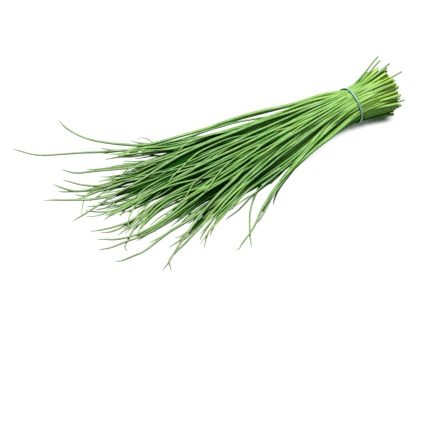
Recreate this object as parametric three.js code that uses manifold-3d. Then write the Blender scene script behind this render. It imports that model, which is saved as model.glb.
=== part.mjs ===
// A bunch of chives lying on a surface, held by one thin rubber band near its cut ends.
// Millimetres, +Z up. In the bunch's own frame X runs along the tied waist towards the cut ends,
// the tips fan out towards -X, and the surface is Z = 0. The whole is then moved so that the
// origin is the middle of its footprint.

import * as THREE from 'three';
import { mergeVertices } from 'three/addons/utils/BufferGeometryUtils.js';
import Module from 'manifold-3d';

// Footprint middle in the bunch's own frame.
const FOOTPRINT_X = -100.2;
const FOOTPRINT_Y = 29.52;

// Waist, where the band holds the leaves together: its radius is to the outer leaves' middles.
const WAIST_RADIUS = 14.0;
const WAIST_HEIGHT = 17.6;
const HELD = 9;

// Leaves. Radii are half of a leaf's thickness near its base.
const LEAF_COUNT = 110;
const LEAF_RADIUS_MIN = 1.1;
const LEAF_RADIUS_MAX = 1.5;
const TIP_RADIUS = 0.45;
const TAPER_START = 1.7;
const TAPER_END = 0.8;
const SEED = 25002;

// Cut ends: how far they stand out past the waist, and how much wider the bunch is there.
const CUT_LENGTH = 42;
const CUT_RAGGED = 4;
const CUT_SLANT = 2;
const CUT_FLARE = 0.16;
const CUT_SCATTER = 4;
const CUT_LEAN = -1;

// Fan of the leaves seen from above: the angle from -X towards +Y, in degrees.
const FAN_MIDDLE = 4.5;
const FAN_HALF = 19.5;
const FAN_SCATTER = 9.6;
const FAN_LIMIT_NEAR = -19;
const FAN_LIMIT_FAR = 24;

// How far the tips reach: less towards the fan's near side, and some leaves are shorter.
const LEAF_REACH = 226;
const REACH_SLOPE = 1.2;
const REACH_ROUND = 0.05;
const REACH_SHORTER = 62;
const TIP_HEIGHT_MIN = 2;
const TIP_HEIGHT_RANGE = 3;

// Sideways bow of a leaf: outer leaves bow towards the middle by this much a degree of fan.
const FAN_CURL = -0.5;
const BOW_SCATTER = 17;
const BOW_CARRY = 0.8;
const BOW_FAR_SCATTER = 12;

// Control points of a leaf: distance of the near one, then parts of the way to the tip, with the
// height that the pile still has there for a leaf on top of it.
const NEAR_DISTANCE = 34;
const NEAR_SPREAD = 0.55;
const PILE_NEAR = 26;
const MID_PART = 0.45;
const PILE_MID = 17;
const FAR_PART = 0.78;
const PILE_FAR = 9;
const CURVE_STEPS = 24;

// A leaf runs straight between knots: its cut end, both sides of the waist, then these parts of
// the rest of its length.
const KNOT_PARTS = [0.14, 0.34, 0.55, 0.75, 0.9, 1];

// Leaves settle against each other at stations along their length.
const STATION_STEP = 5;
const STATION_FIRST = -50;
const STATION_COUNT = 68;
const SETTLE_ROUNDS = 150;
const SETTLE_PUSH = 0.9;
const SETTLE_STIFFNESS = 0.01;
const SETTLE_SAG = 0.01;
const LEAF_CLEARANCE = 0.1;

// Each leaf is a slim four-sided prism inside the leaf's round, flat where it is this near to the
// surface.
const LEAF_SIDES = 4;
const SURFACE_REACH = 0.55;

// Core: the packed middle of the waist, which the leaves stand out of. It slims towards the tips.
const CORE_RADIUS = 13.2;
const CORE_CUT_END = 22;
const CORE_TIP_END = -30;
const CORE_TIP_RADIUS = 10;
const CORE_TIP_DROP = 3;
const CORE_SIDES = 20;

// Rubber band round the waist.
const BAND_WIDTH = 1.8;
const BAND_THICKNESS = 1.0;
const BAND_INNER_RADIUS = 15.9;
const BAND_SIDES = 48;

// Leaves that stand apart from the rest. Each has its tip, its sideways bow at the middle and far
// control points, where it sits in the waist (across, up) and its radius. Some have their cut end.
const STRAY_LEAVES = [
  { tip: [-205, 130, 12], bow: [-25, -34], slot: [0.72, 0.62], radius: 1.5 },
  { tip: [-250, 125, 6], bow: [-18, -17], slot: [0.86, 0.2], radius: 1.4 },
  { tip: [-190, 88, 4], bow: [-13, -8], slot: [0.9, 0.0], radius: 1.2 },
  { tip: [-194, 75, 3], bow: [-3, -1], slot: [0.35, 0.9], radius: 1.0, cut: [42, 15, 36] },
  { tip: [-172, 82, 5], bow: [-14, -14], slot: [0.95, -0.2], radius: 1.1 },
  { tip: [-229, 83, 4], bow: [-12, -11], slot: [0.5, 0.5], radius: 1.3 },
  { tip: [-213, 73, 3], bow: [-8, -3], slot: [0.4, -0.1], radius: 1.2 },
  { tip: [-234, 74, 4], bow: [-8, -9], slot: [0.3, 0.3], radius: 1.3 },
  { tip: [-244, 73, 4], bow: [-6, -9], slot: [0.2, -0.3], radius: 1.4 },
  { tip: [-243, 64, 3], bow: [0, -3], slot: [0.35, -0.6], radius: 1.2 },
  { tip: [-258, 62, 3], bow: [-6, -9], slot: [0.1, 0.1], radius: 1.4 },
  { tip: [-235, 53, 3], bow: [3, 2], slot: [0.0, 0.6], radius: 1.3 },
  { tip: [-211, 56, 4], bow: [6, 5], slot: [0.5, 0.8], radius: 1.0, cut: [45, 21, 35] },
  { tip: [-233, 37, 4], bow: [2, 5], slot: [0.1, 0.4], radius: 1.4 },
  { tip: [-237, 34, 3], bow: [-4, -5], slot: [-0.1, -0.2], radius: 1.2 },
  { tip: [-251, 29, 5], bow: [16, 13], slot: [0.2, 0.9], radius: 1.3 },
  { tip: [-231, 16, 3], bow: [4, 7], slot: [0.1, 0.95], radius: 1.2, cut: [47, 9, 34] },
  { tip: [-218, 14, 3], bow: [2, 3], slot: [0.1, -0.5], radius: 1.1 },
  { tip: [-245, 13, 4], bow: [-3, -6], slot: [-0.2, 0.1], radius: 1.4 },
  { tip: [-239, 7, 3], bow: [-2, -4], slot: [-0.3, -0.5], radius: 1.2 },
  { tip: [-245, 2, 3], bow: [2, -2], slot: [-0.3, 0.5], radius: 1.3 },
  { tip: [-230, -4, 4], bow: [4, 6], slot: [-0.15, 0.6], radius: 1.1, cut: [57, 3, 25] },
  { tip: [-250, -8, 3], bow: [0, -3], slot: [-0.4, 0.0], radius: 1.3 },
  { tip: [-233, -21, 3], bow: [7, 8], slot: [-0.5, 0.6], radius: 1.2 },
  { tip: [-246, -24, 3], bow: [-3, -7], slot: [-0.55, 0.3], radius: 1.5 },
  { tip: [-222, -53, 3], bow: [14, 12], slot: [-0.35, 0.85], radius: 1.5 },
  { tip: [-216, -56, 3], bow: [17, 15], slot: [-0.5, 0.8], radius: 1.4 },
  { tip: [-206, -37, 3], bow: [6, 4], slot: [-0.6, -0.1], radius: 1.2 },
  { tip: [-197, -31, 3], bow: [2, 2], slot: [-0.4, -0.7], radius: 1.1 },
  { tip: [-182, -43, 3], bow: [6, 6], slot: [-0.7, 0.1], radius: 1.2 },
  { tip: [-183, -52, 3], bow: [9, 8], slot: [-0.65, 0.45], radius: 1.2 },
  { tip: [-164, -67, 3], bow: [10, 6], slot: [-0.8, 0.4], radius: 1.3 },
  { tip: [-154, -71, 3], bow: [16, 22], slot: [-0.8, -0.2], radius: 1.2 },
  { tip: [-136, -55, 4], bow: [8, 5], slot: [-0.75, 0.6], radius: 1.7 },
  { tip: [-148, -50, 3], bow: [7, 5], slot: [-0.9, 0.1], radius: 1.5 },
  { tip: [-153, -37, 3], bow: [5, 4], slot: [-0.7, -0.5], radius: 1.2, cut: [49, -12, 8] },
  { tip: [-115, -46, 2], bow: [9, 8], slot: [-0.95, -0.2], radius: 1.4 },
];

function makeRandom(seed) {
  let state = seed;
  return () => {
    state = (state * 16807) % 2147483647;
    return state / 2147483647;
  };
}

function clamp(value, low, high) {
  return Math.min(high, Math.max(low, value));
}

// Places in the waist, spread evenly over a disc by the golden angle.
function waistSlots() {
  const golden = Math.PI * (3 - Math.sqrt(5));
  const slots = [];
  for (let i = 0; i < LEAF_COUNT; i += 1) {
    const reach = Math.sqrt((i + 0.5) / LEAF_COUNT);
    slots.push({ across: reach * Math.cos(i * golden), up: reach * Math.sin(i * golden), free: true });
  }
  return slots;
}

function takeNearestSlot(slots, across, up) {
  let best = null;
  let bestDistance = Infinity;
  for (const slot of slots) {
    const distance = Math.hypot(slot.across - across, slot.up - up);
    if (slot.free && distance < bestDistance) {
      best = slot;
      bestDistance = distance;
    }
  }
  best.free = false;
  return best;
}

// One ordinary leaf's tip and bow, drawn at random about the fan's shape.
function drawLeaf(slot, random) {
  const scatter = (random() + random() + random() - 1.5) * FAN_SCATTER;
  const middle = FAN_MIDDLE + FAN_HALF * slot.across;
  const angle = clamp(middle + scatter, FAN_LIMIT_NEAR, FAN_LIMIT_FAR);
  const shorter = REACH_SHORTER * random() * random();
  const reach = LEAF_REACH + REACH_SLOPE * angle - REACH_ROUND * angle * angle - shorter;
  const heading = THREE.MathUtils.degToRad(angle);
  const bowMid = FAN_CURL * (angle - FAN_MIDDLE) + (random() - 0.5) * BOW_SCATTER;
  const bowFar = bowMid * BOW_CARRY + (random() - 0.5) * BOW_FAR_SCATTER;
  const tipHeight = TIP_HEIGHT_MIN + TIP_HEIGHT_RANGE * random();
  const tip = [-reach * Math.cos(heading), reach * Math.sin(heading), tipHeight];
  const radius = LEAF_RADIUS_MIN + (LEAF_RADIUS_MAX - LEAF_RADIUS_MIN) * random();
  return { tip, bow: [bowMid, bowFar], slot, radius };
}

// Where a leaf's cut end lies, drawn at random about the bunch's ragged end.
function drawCut(leaf, random) {
  const { across, up } = leaf.slot;
  const spread = WAIST_RADIUS * (1 + CUT_FLARE);
  const x = CUT_LENGTH + CUT_SLANT * across + CUT_RAGGED * (2 * random() - 1);
  const y = spread * across + CUT_LEAN + CUT_SCATTER * (random() - 0.5);
  const z = WAIST_HEIGHT + spread * up + CUT_SCATTER * (random() - 0.5);
  return [x, y, Math.max(z, leaf.radius)];
}

function drawLeaves() {
  const random = makeRandom(SEED);
  const slots = waistSlots();
  const leaves = STRAY_LEAVES.map((stray) => ({
    ...stray,
    slot: takeNearestSlot(slots, stray.slot[0], stray.slot[1]),
  }));
  for (const slot of slots) {
    if (slot.free) {
      leaves.push(drawLeaf(slot, random));
    }
  }
  for (const leaf of leaves) {
    const cut = drawCut(leaf, random);
    leaf.cut = leaf.cut ?? cut;
  }
  return leaves;
}

// Control points from the cut end, through the waist, to the tip.
function controlPoints(leaf) {
  const { across, up } = leaf.slot;
  const y = across * WAIST_RADIUS;
  const z = WAIST_HEIGHT + up * WAIST_RADIUS;
  const share = (up + 1) / 2;
  const [tipX, tipY, tipZ] = leaf.tip;
  const length = Math.hypot(tipX, tipY - y);
  const sideX = (tipY - y) / length;
  const sideY = -tipX / length;
  const onTheWay = (part, bow, height) => new THREE.Vector3(
    tipX * part + sideX * bow,
    y + (tipY - y) * part + sideY * bow,
    leaf.radius + height * share,
  );
  const nearY = y + ((tipY - y) * NEAR_SPREAD * NEAR_DISTANCE) / -tipX;
  return [
    new THREE.Vector3(...leaf.cut),
    new THREE.Vector3(0, y, z),
    new THREE.Vector3(-NEAR_DISTANCE, nearY, leaf.radius + PILE_NEAR * share),
    onTheWay(MID_PART, leaf.bow[0], PILE_MID),
    onTheWay(FAR_PART, leaf.bow[1], PILE_FAR),
    new THREE.Vector3(tipX, tipY, tipZ),
  ];
}

// A leaf thins slowly from its base and quickly towards its tip.
function radiusAt(leaf, s) {
  const part = clamp(s / leaf.tipEnd, 0, 1);
  const share = (1 - part ** TAPER_START) ** TAPER_END;
  return TIP_RADIUS + (leaf.radius - TIP_RADIUS) * share;
}

// Smooth curve through the control points, and the leaf's straight stretches between its knots.
function layOut(leaf) {
  const curve = new THREE.CatmullRomCurve3(controlPoints(leaf), false, 'catmullrom', 0.5);
  const points = curve.getPoints(CURVE_STEPS * (curve.points.length - 1));
  const lengths = [0];
  for (let i = 1; i < points.length; i += 1) {
    lengths.push(lengths[i - 1] + points[i].distanceTo(points[i - 1]));
  }
  const waist = lengths[CURVE_STEPS];
  const tipEnd = lengths[points.length - 1] - waist;
  leaf.tipEnd = tipEnd;
  leaf.places = [-waist, -HELD, HELD, ...KNOT_PARTS.map((part) => HELD + (tipEnd - HELD) * part)];
  let span = 0;
  leaf.knots = leaf.places.map((place) => {
    while (span < points.length - 2 && lengths[span + 1] < place + waist) {
      span += 1;
    }
    const part = (place + waist - lengths[span]) / (lengths[span + 1] - lengths[span]);
    return new THREE.Vector3().lerpVectors(points[span], points[span + 1], part);
  });
  leaf.start = leaf.knots.map((knot) => knot.clone());
  leaf.radii = leaf.places.map((place) => radiusAt(leaf, place));
}

// Where a leaf is at each station of the round: its point, direction and radius.
function stationsOf(leaf) {
  const stations = [];
  let span = 0;
  for (let k = 0; k < STATION_COUNT; k += 1) {
    const s = STATION_FIRST + k * STATION_STEP;
    if (s < leaf.places[0] || s > leaf.tipEnd || Math.abs(s) < HELD) {
      stations.push(null);
      continue;
    }
    while (leaf.places[span + 1] < s) {
      span += 1;
    }
    const part = (s - leaf.places[span]) / (leaf.places[span + 1] - leaf.places[span]);
    stations.push({
      point: new THREE.Vector3().lerpVectors(leaf.knots[span], leaf.knots[span + 1], part),
      along: leaf.knots[span + 1].clone().sub(leaf.knots[span]).normalize(),
      radius: radiusAt(leaf, s),
      shift: new THREE.Vector3(),
      touches: 0,
      span,
      part,
    });
  }
  return stations;
}

// Two leaves that overlap at a station push each other apart, square to their length.
function pushApart(one, other) {
  const wanted = one.radius + other.radius + LEAF_CLEARANCE;
  const apart = one.point.clone().sub(other.point);
  if (Math.abs(apart.y) > wanted + STATION_STEP || Math.abs(apart.z) > wanted) {
    return;
  }
  const mean = one.along.clone().add(other.along).normalize();
  apart.addScaledVector(mean, -apart.dot(mean));
  const distance = Math.max(apart.length(), 0.01);
  if (distance < wanted) {
    apart.multiplyScalar((wanted - distance) / (2 * distance));
    one.shift.add(apart);
    other.shift.sub(apart);
    one.touches += 1;
    other.touches += 1;
  }
}

// A knot moves by the mean of what its stations ask for, then springs back a little and sags.
function moveKnots(leaf, stations) {
  const sums = leaf.knots.map(() => new THREE.Vector3());
  const weights = leaf.knots.map(() => 0);
  for (const station of stations) {
    if (station && station.touches > 0) {
      const { span, part, shift } = station;
      sums[span].addScaledVector(shift, 1 - part);
      sums[span + 1].addScaledVector(shift, part);
      weights[span] += (1 - part) * (1 - part);
      weights[span + 1] += part * part;
    }
  }
  leaf.knots.forEach((knot, j) => {
    if (Math.abs(leaf.places[j]) > HELD) {
      knot.addScaledVector(sums[j], SETTLE_PUSH / Math.max(1, weights[j]));
    }
  });
  const shifts = leaf.knots.map((knot, j) => knot.clone().sub(leaf.start[j]));
  for (let j = 0; j < shifts.length; j += 1) {
    if (Math.abs(leaf.places[j]) > HELD) {
      const before = shifts[Math.max(0, j - 1)];
      const after = shifts[Math.min(shifts.length - 1, j + 1)];
      const mean = before.clone().add(after).multiplyScalar(0.5);
      leaf.knots[j].addScaledVector(mean.sub(shifts[j]), SETTLE_STIFFNESS);
      leaf.knots[j].z = Math.max(leaf.knots[j].z - SETTLE_SAG, leaf.radii[j]);
    }
  }
}

// Leaves settle against each other and the surface.
function settle(leaves) {
  for (let round = 0; round < SETTLE_ROUNDS; round += 1) {
    const all = leaves.map(stationsOf);
    for (let k = 0; k < STATION_COUNT; k += 1) {
      for (let i = 0; i < all.length; i += 1) {
        for (let j = i + 1; all[i][k] && j < all.length; j += 1) {
          if (all[j][k]) {
            pushApart(all[i][k], all[j][k]);
          }
        }
      }
    }
    leaves.forEach((leaf, i) => moveKnots(leaf, all[i]));
  }
}

// A prism with a section at every knot, its lowest faces let down onto the surface.
function leafPrism(leaf) {
  const spans = leaf.knots.length - 1;
  const geometry = new THREE.CylinderGeometry(1, 1, spans, LEAF_SIDES, spans, false, Math.PI / 4);
  const position = geometry.attributes.position;
  const up = new THREE.Vector3(0, 0, 1);
  for (let i = 0; i < position.count; i += 1) {
    const j = Math.round(position.getY(i) + spans / 2);
    const knot = leaf.knots[j];
    const ahead = leaf.knots[Math.min(j + 1, spans)].clone().sub(leaf.knots[Math.max(j - 1, 0)]).normalize();
    const side = new THREE.Vector3().crossVectors(ahead, up).normalize();
    const top = new THREE.Vector3().crossVectors(side, ahead);
    const radius = leaf.radii[j];
    const point = knot.clone().addScaledVector(side, position.getX(i) * radius);
    point.addScaledVector(top, position.getZ(i) * radius);
    position.setXYZ(i, point.x, point.y, point.z < SURFACE_REACH ? 0 : point.z);
  }
  return geometry;
}

function waistCore() {
  const profile = [
    new THREE.Vector2(0, CORE_TIP_END),
    new THREE.Vector2(CORE_TIP_RADIUS, CORE_TIP_END),
    new THREE.Vector2(CORE_RADIUS, -HELD),
    new THREE.Vector2(CORE_RADIUS, CORE_CUT_END),
    new THREE.Vector2(0, CORE_CUT_END),
  ];
  const geometry = new THREE.LatheGeometry(profile, CORE_SIDES);
  geometry.rotateZ(-Math.PI / 2);
  const position = geometry.attributes.position;
  for (let i = 0; i < position.count; i += 1) {
    const drop = position.getX(i) < -HELD - 1 ? CORE_TIP_DROP : 0;
    position.setZ(i, position.getZ(i) + WAIST_HEIGHT - drop);
  }
  return geometry;
}

function toSolid(wasm, geometry) {
  geometry.deleteAttribute('normal');
  geometry.deleteAttribute('uv');
  const merged = mergeVertices(geometry, 1e-5);
  return new wasm.Manifold(new wasm.Mesh({
    numProp: 3,
    vertProperties: new Float32Array(merged.attributes.position.array),
    triVerts: new Uint32Array(merged.index.array),
  }));
}

function toGeometry(solid) {
  const mesh = solid.getMesh();
  const geometry = new THREE.BufferGeometry();
  geometry.setAttribute('position', new THREE.BufferAttribute(mesh.vertProperties, 3));
  geometry.setIndex(new THREE.BufferAttribute(mesh.triVerts, 1));
  geometry.computeVertexNormals();
  return geometry;
}

function chiveMaterial() {
  return new THREE.MeshStandardMaterial({ color: 0x7fb43c, roughness: 0.5, metalness: 0 });
}

function bandMaterial() {
  return new THREE.MeshStandardMaterial({ color: 0x5fbfae, roughness: 0.45, metalness: 0 });
}

function chiveLeaves(wasm) {
  const leaves = drawLeaves();
  leaves.forEach(layOut);
  settle(leaves);
  let body = toSolid(wasm, waistCore());
  for (const leaf of leaves) {
    body = body.add(toSolid(wasm, leafPrism(leaf)));
  }
  const mesh = new THREE.Mesh(toGeometry(body), chiveMaterial());
  mesh.name = 'chive_leaves';
  return mesh;
}

function rubberBand() {
  const outer = BAND_INNER_RADIUS + BAND_THICKNESS;
  const profile = [
    new THREE.Vector2(BAND_INNER_RADIUS, -BAND_WIDTH / 2),
    new THREE.Vector2(outer, -BAND_WIDTH / 2),
    new THREE.Vector2(outer, BAND_WIDTH / 2),
    new THREE.Vector2(BAND_INNER_RADIUS, BAND_WIDTH / 2),
    new THREE.Vector2(BAND_INNER_RADIUS, -BAND_WIDTH / 2),
  ];
  const mesh = new THREE.Mesh(new THREE.LatheGeometry(profile, BAND_SIDES), bandMaterial());
  mesh.name = 'rubber_band';
  mesh.rotation.z = Math.PI / 2;
  mesh.position.z = WAIST_HEIGHT;
  return mesh;
}

const wasm = await Module();
wasm.setup();

const bunch = new THREE.Group();
bunch.add(chiveLeaves(wasm), rubberBand());
bunch.position.set(-FOOTPRINT_X, -FOOTPRINT_Y, 0);

export default bunch;
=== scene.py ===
import math

import bpy
import numpy as np
from mathutils import Matrix


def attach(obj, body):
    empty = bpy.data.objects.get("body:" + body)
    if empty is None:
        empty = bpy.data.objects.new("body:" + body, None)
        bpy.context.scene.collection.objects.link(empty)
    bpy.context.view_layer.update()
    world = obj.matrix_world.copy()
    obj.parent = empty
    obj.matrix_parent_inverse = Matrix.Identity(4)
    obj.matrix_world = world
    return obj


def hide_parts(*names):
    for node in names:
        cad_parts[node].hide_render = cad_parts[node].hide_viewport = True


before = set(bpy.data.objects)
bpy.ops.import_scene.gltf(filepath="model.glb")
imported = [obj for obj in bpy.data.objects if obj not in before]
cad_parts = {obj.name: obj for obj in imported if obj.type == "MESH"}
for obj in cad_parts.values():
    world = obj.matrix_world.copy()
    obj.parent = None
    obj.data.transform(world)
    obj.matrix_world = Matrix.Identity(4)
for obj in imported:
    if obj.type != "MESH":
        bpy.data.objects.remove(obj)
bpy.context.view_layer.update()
scene = bpy.context.scene

# ---------------------------------------------------------------- the bunch
# Sizes are in millimetres, in the bunch's own frame: the waist is at the
# origin, X runs along it towards the cut ends, and Z = 0 is the surface.
# These numbers and the rule that uses them are those of the part's source,
# so that the fine leaves start from the same lines as its solids.

FOOTPRINT_X = -100.2
FOOTPRINT_Y = 29.52
WAIST_RADIUS = 14.0
WAIST_HEIGHT = 17.6
HELD = 9
LEAF_COUNT = 110
LEAF_RADIUS_MIN = 1.1
LEAF_RADIUS_MAX = 1.5
TIP_RADIUS = 0.45
TAPER_START = 1.7
TAPER_END = 0.8
SEED = 25002
CUT_LENGTH = 42
CUT_RAGGED = 4
CUT_SLANT = 2
CUT_FLARE = 0.16
CUT_SCATTER = 4
CUT_LEAN = -1
FAN_MIDDLE = 4.5
FAN_HALF = 19.5
FAN_SCATTER = 9.6
FAN_LIMIT_NEAR = -19
FAN_LIMIT_FAR = 24
LEAF_REACH = 226
REACH_SLOPE = 1.2
REACH_ROUND = 0.05
REACH_SHORTER = 62
TIP_HEIGHT_MIN = 2
TIP_HEIGHT_RANGE = 3
FAN_CURL = -0.5
BOW_SCATTER = 17
BOW_CARRY = 0.8
BOW_FAR_SCATTER = 12
NEAR_DISTANCE = 34
NEAR_SPREAD = 0.55
PILE_NEAR = 26
MID_PART = 0.45
PILE_MID = 17
FAR_PART = 0.78
PILE_FAR = 9
CURVE_STEPS = 24
KNOT_PARTS = (0.14, 0.34, 0.55, 0.75, 0.9, 1)
STATION_STEP = 5
STATION_FIRST = -50
STATION_COUNT = 68
SETTLE_ROUNDS = 150
SETTLE_PUSH = 0.9
SETTLE_STIFFNESS = 0.01
SETTLE_SAG = 0.01
LEAF_CLEARANCE = 0.1

BAND_WIDTH = 2.0
BAND_THICKNESS = 1.15

# tip, bow in the middle and far along, slot across and up, radius, cut end
STRAY_LEAVES = (
    ((-205, 130, 12), (-25, -34), (0.72, 0.62), 1.5, None),
    ((-250, 125, 6), (-18, -17), (0.86, 0.2), 1.4, None),
    ((-190, 88, 4), (-13, -8), (0.9, 0.0), 1.2, None),
    ((-194, 75, 3), (-3, -1), (0.35, 0.9), 1.0, (42, 15, 36)),
    ((-172, 82, 5), (-14, -14), (0.95, -0.2), 1.1, None),
    ((-229, 83, 4), (-12, -11), (0.5, 0.5), 1.3, None),
    ((-213, 73, 3), (-8, -3), (0.4, -0.1), 1.2, None),
    ((-234, 74, 4), (-8, -9), (0.3, 0.3), 1.3, None),
    ((-244, 73, 4), (-6, -9), (0.2, -0.3), 1.4, None),
    ((-243, 64, 3), (0, -3), (0.35, -0.6), 1.2, None),
    ((-258, 62, 3), (-6, -9), (0.1, 0.1), 1.4, None),
    ((-235, 53, 3), (3, 2), (0.0, 0.6), 1.3, None),
    ((-211, 56, 4), (6, 5), (0.5, 0.8), 1.0, (45, 21, 35)),
    ((-233, 37, 4), (2, 5), (0.1, 0.4), 1.4, None),
    ((-237, 34, 3), (-4, -5), (-0.1, -0.2), 1.2, None),
    ((-251, 29, 5), (16, 13), (0.2, 0.9), 1.3, None),
    ((-231, 16, 3), (4, 7), (0.1, 0.95), 1.2, (47, 9, 34)),
    ((-218, 14, 3), (2, 3), (0.1, -0.5), 1.1, None),
    ((-245, 13, 4), (-3, -6), (-0.2, 0.1), 1.4, None),
    ((-239, 7, 3), (-2, -4), (-0.3, -0.5), 1.2, None),
    ((-245, 2, 3), (2, -2), (-0.3, 0.5), 1.3, None),
    ((-230, -4, 4), (4, 6), (-0.15, 0.6), 1.1, (57, 3, 25)),
    ((-250, -8, 3), (0, -3), (-0.4, 0.0), 1.3, None),
    ((-233, -21, 3), (7, 8), (-0.5, 0.6), 1.2, None),
    ((-246, -24, 3), (-3, -7), (-0.55, 0.3), 1.5, None),
    ((-222, -53, 3), (14, 12), (-0.35, 0.85), 1.5, None),
    ((-216, -56, 3), (17, 15), (-0.5, 0.8), 1.4, None),
    ((-206, -37, 3), (6, 4), (-0.6, -0.1), 1.2, None),
    ((-197, -31, 3), (2, 2), (-0.4, -0.7), 1.1, None),
    ((-182, -43, 3), (6, 6), (-0.7, 0.1), 1.2, None),
    ((-183, -52, 3), (9, 8), (-0.65, 0.45), 1.2, None),
    ((-164, -67, 3), (10, 6), (-0.8, 0.4), 1.3, None),
    ((-154, -71, 3), (16, 22), (-0.8, -0.2), 1.2, None),
    ((-136, -55, 4), (8, 5), (-0.75, 0.6), 1.7, None),
    ((-148, -50, 3), (7, 5), (-0.9, 0.1), 1.5, None),
    ((-153, -37, 3), (5, 4), (-0.7, -0.5), 1.2, (49, -12, 8)),
    ((-115, -46, 2), (9, 8), (-0.95, -0.2), 1.4, None),
)


class Draw:
    """The source's own random draw, so that both give the same leaves."""

    def __init__(self, seed):
        self.state = seed

    def __call__(self):
        self.state = self.state * 16807 % 2147483647
        return self.state / 2147483647


def waist_slots():
    golden = math.pi * (3 - math.sqrt(5))
    slots = []
    for i in range(LEAF_COUNT):
        reach = math.sqrt((i + 0.5) / LEAF_COUNT)
        slots.append((reach * math.cos(i * golden), reach * math.sin(i * golden)))
    return slots


def draw_leaf(slot, draw):
    scatter = (draw() + draw() + draw() - 1.5) * FAN_SCATTER
    angle = FAN_MIDDLE + FAN_HALF * slot[0] + scatter
    angle = min(max(angle, FAN_LIMIT_NEAR), FAN_LIMIT_FAR)
    shorter = REACH_SHORTER * draw() * draw()
    reach = LEAF_REACH + REACH_SLOPE * angle - REACH_ROUND * angle * angle - shorter
    heading = math.radians(angle)
    bow_mid = FAN_CURL * (angle - FAN_MIDDLE) + (draw() - 0.5) * BOW_SCATTER
    bow_far = bow_mid * BOW_CARRY + (draw() - 0.5) * BOW_FAR_SCATTER
    height = TIP_HEIGHT_MIN + TIP_HEIGHT_RANGE * draw()
    radius = LEAF_RADIUS_MIN + (LEAF_RADIUS_MAX - LEAF_RADIUS_MIN) * draw()
    return {
        "tip": (-reach * math.cos(heading), reach * math.sin(heading), height),
        "bow": (bow_mid, bow_far),
        "slot": slot,
        "radius": radius,
        "cut": None,
        "stray": False,
    }


def draw_cut(leaf, draw):
    across, up = leaf["slot"]
    spread = WAIST_RADIUS * (1 + CUT_FLARE)
    x = CUT_LENGTH + CUT_SLANT * across + CUT_RAGGED * (2 * draw() - 1)
    y = spread * across + CUT_LEAN + CUT_SCATTER * (draw() - 0.5)
    z = WAIST_HEIGHT + spread * up + CUT_SCATTER * (draw() - 0.5)
    return (x, y, max(z, leaf["radius"]))


def draw_leaves():
    draw = Draw(SEED)
    free = waist_slots()
    leaves = []
    for tip, bow, near, radius, cut in STRAY_LEAVES:
        slot = min(free, key=lambda s: math.hypot(s[0] - near[0], s[1] - near[1]))
        free.remove(slot)
        leaves.append(
            {"tip": tip, "bow": bow, "slot": slot, "radius": radius, "cut": cut,
             "stray": True}
        )
    for slot in free:
        leaves.append(draw_leaf(slot, draw))
    for leaf in leaves:
        cut = draw_cut(leaf, draw)
        leaf["own_cut"] = leaf["cut"] is not None
        leaf["cut"] = leaf["cut"] or cut
    return leaves


def control_points(leaf):
    across, up = leaf["slot"]
    y = across * WAIST_RADIUS
    z = WAIST_HEIGHT + up * WAIST_RADIUS
    share = (up + 1) / 2
    tip_x, tip_y, tip_z = leaf["tip"]
    length = math.hypot(tip_x, tip_y - y)
    side = ((tip_y - y) / length, -tip_x / length)

    def on_the_way(part, bow, height):
        return (
            tip_x * part + side[0] * bow,
            y + (tip_y - y) * part + side[1] * bow,
            leaf["radius"] + height * share,
        )

    near_y = y + (tip_y - y) * NEAR_SPREAD * NEAR_DISTANCE / -tip_x
    return np.array(
        [
            leaf["cut"],
            (0, y, z),
            (-NEAR_DISTANCE, near_y, leaf["radius"] + PILE_NEAR * share),
            on_the_way(MID_PART, leaf["bow"][0], PILE_MID),
            on_the_way(FAR_PART, leaf["bow"][1], PILE_FAR),
            (tip_x, tip_y, tip_z),
        ],
        float,
    )


def catmull_rom(points):
    line = np.vstack(
        [2 * points[0] - points[1], points, 2 * points[-1] - points[-2]]
    )
    t = (np.arange(CURVE_STEPS) / CURVE_STEPS)[:, None]
    spans = []
    for p0, p1, p2, p3 in zip(line, line[1:], line[2:], line[3:]):
        v0, v1 = (p2 - p0) * 0.5, (p3 - p1) * 0.5
        square = -3 * p1 + 3 * p2 - 2 * v0 - v1
        cube = 2 * p1 - 2 * p2 + v0 + v1
        spans.append(p1 + v0 * t + square * t**2 + cube * t**3)
    return np.vstack(spans + [points[-1:]])


def radius_at(radius, tip_end, s):
    part = np.clip(s / tip_end, 0, 1)
    swell = (1 - part**TAPER_START) ** TAPER_END
    return TIP_RADIUS + (radius - TIP_RADIUS) * swell


def places_to(start, tip_end):
    """Where the knots of a leaf lie along it, from its cut end to its tip."""
    outwards = [HELD + (tip_end - HELD) * part for part in KNOT_PARTS]
    return np.array([start, -HELD, HELD] + outwards)


def lay_out(leaf):
    line = catmull_rom(control_points(leaf))
    steps = np.linalg.norm(np.diff(line, axis=0), axis=1)
    lengths = np.concatenate([[0], np.cumsum(steps)])
    waist = lengths[CURVE_STEPS]
    leaf["tip_end"] = lengths[-1] - waist
    leaf["places"] = places_to(-waist, leaf["tip_end"])
    leaf["knots"] = np.stack(
        [np.interp(leaf["places"] + waist, lengths, line[:, axis]) for axis in range(3)],
        axis=1,
    )


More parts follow.
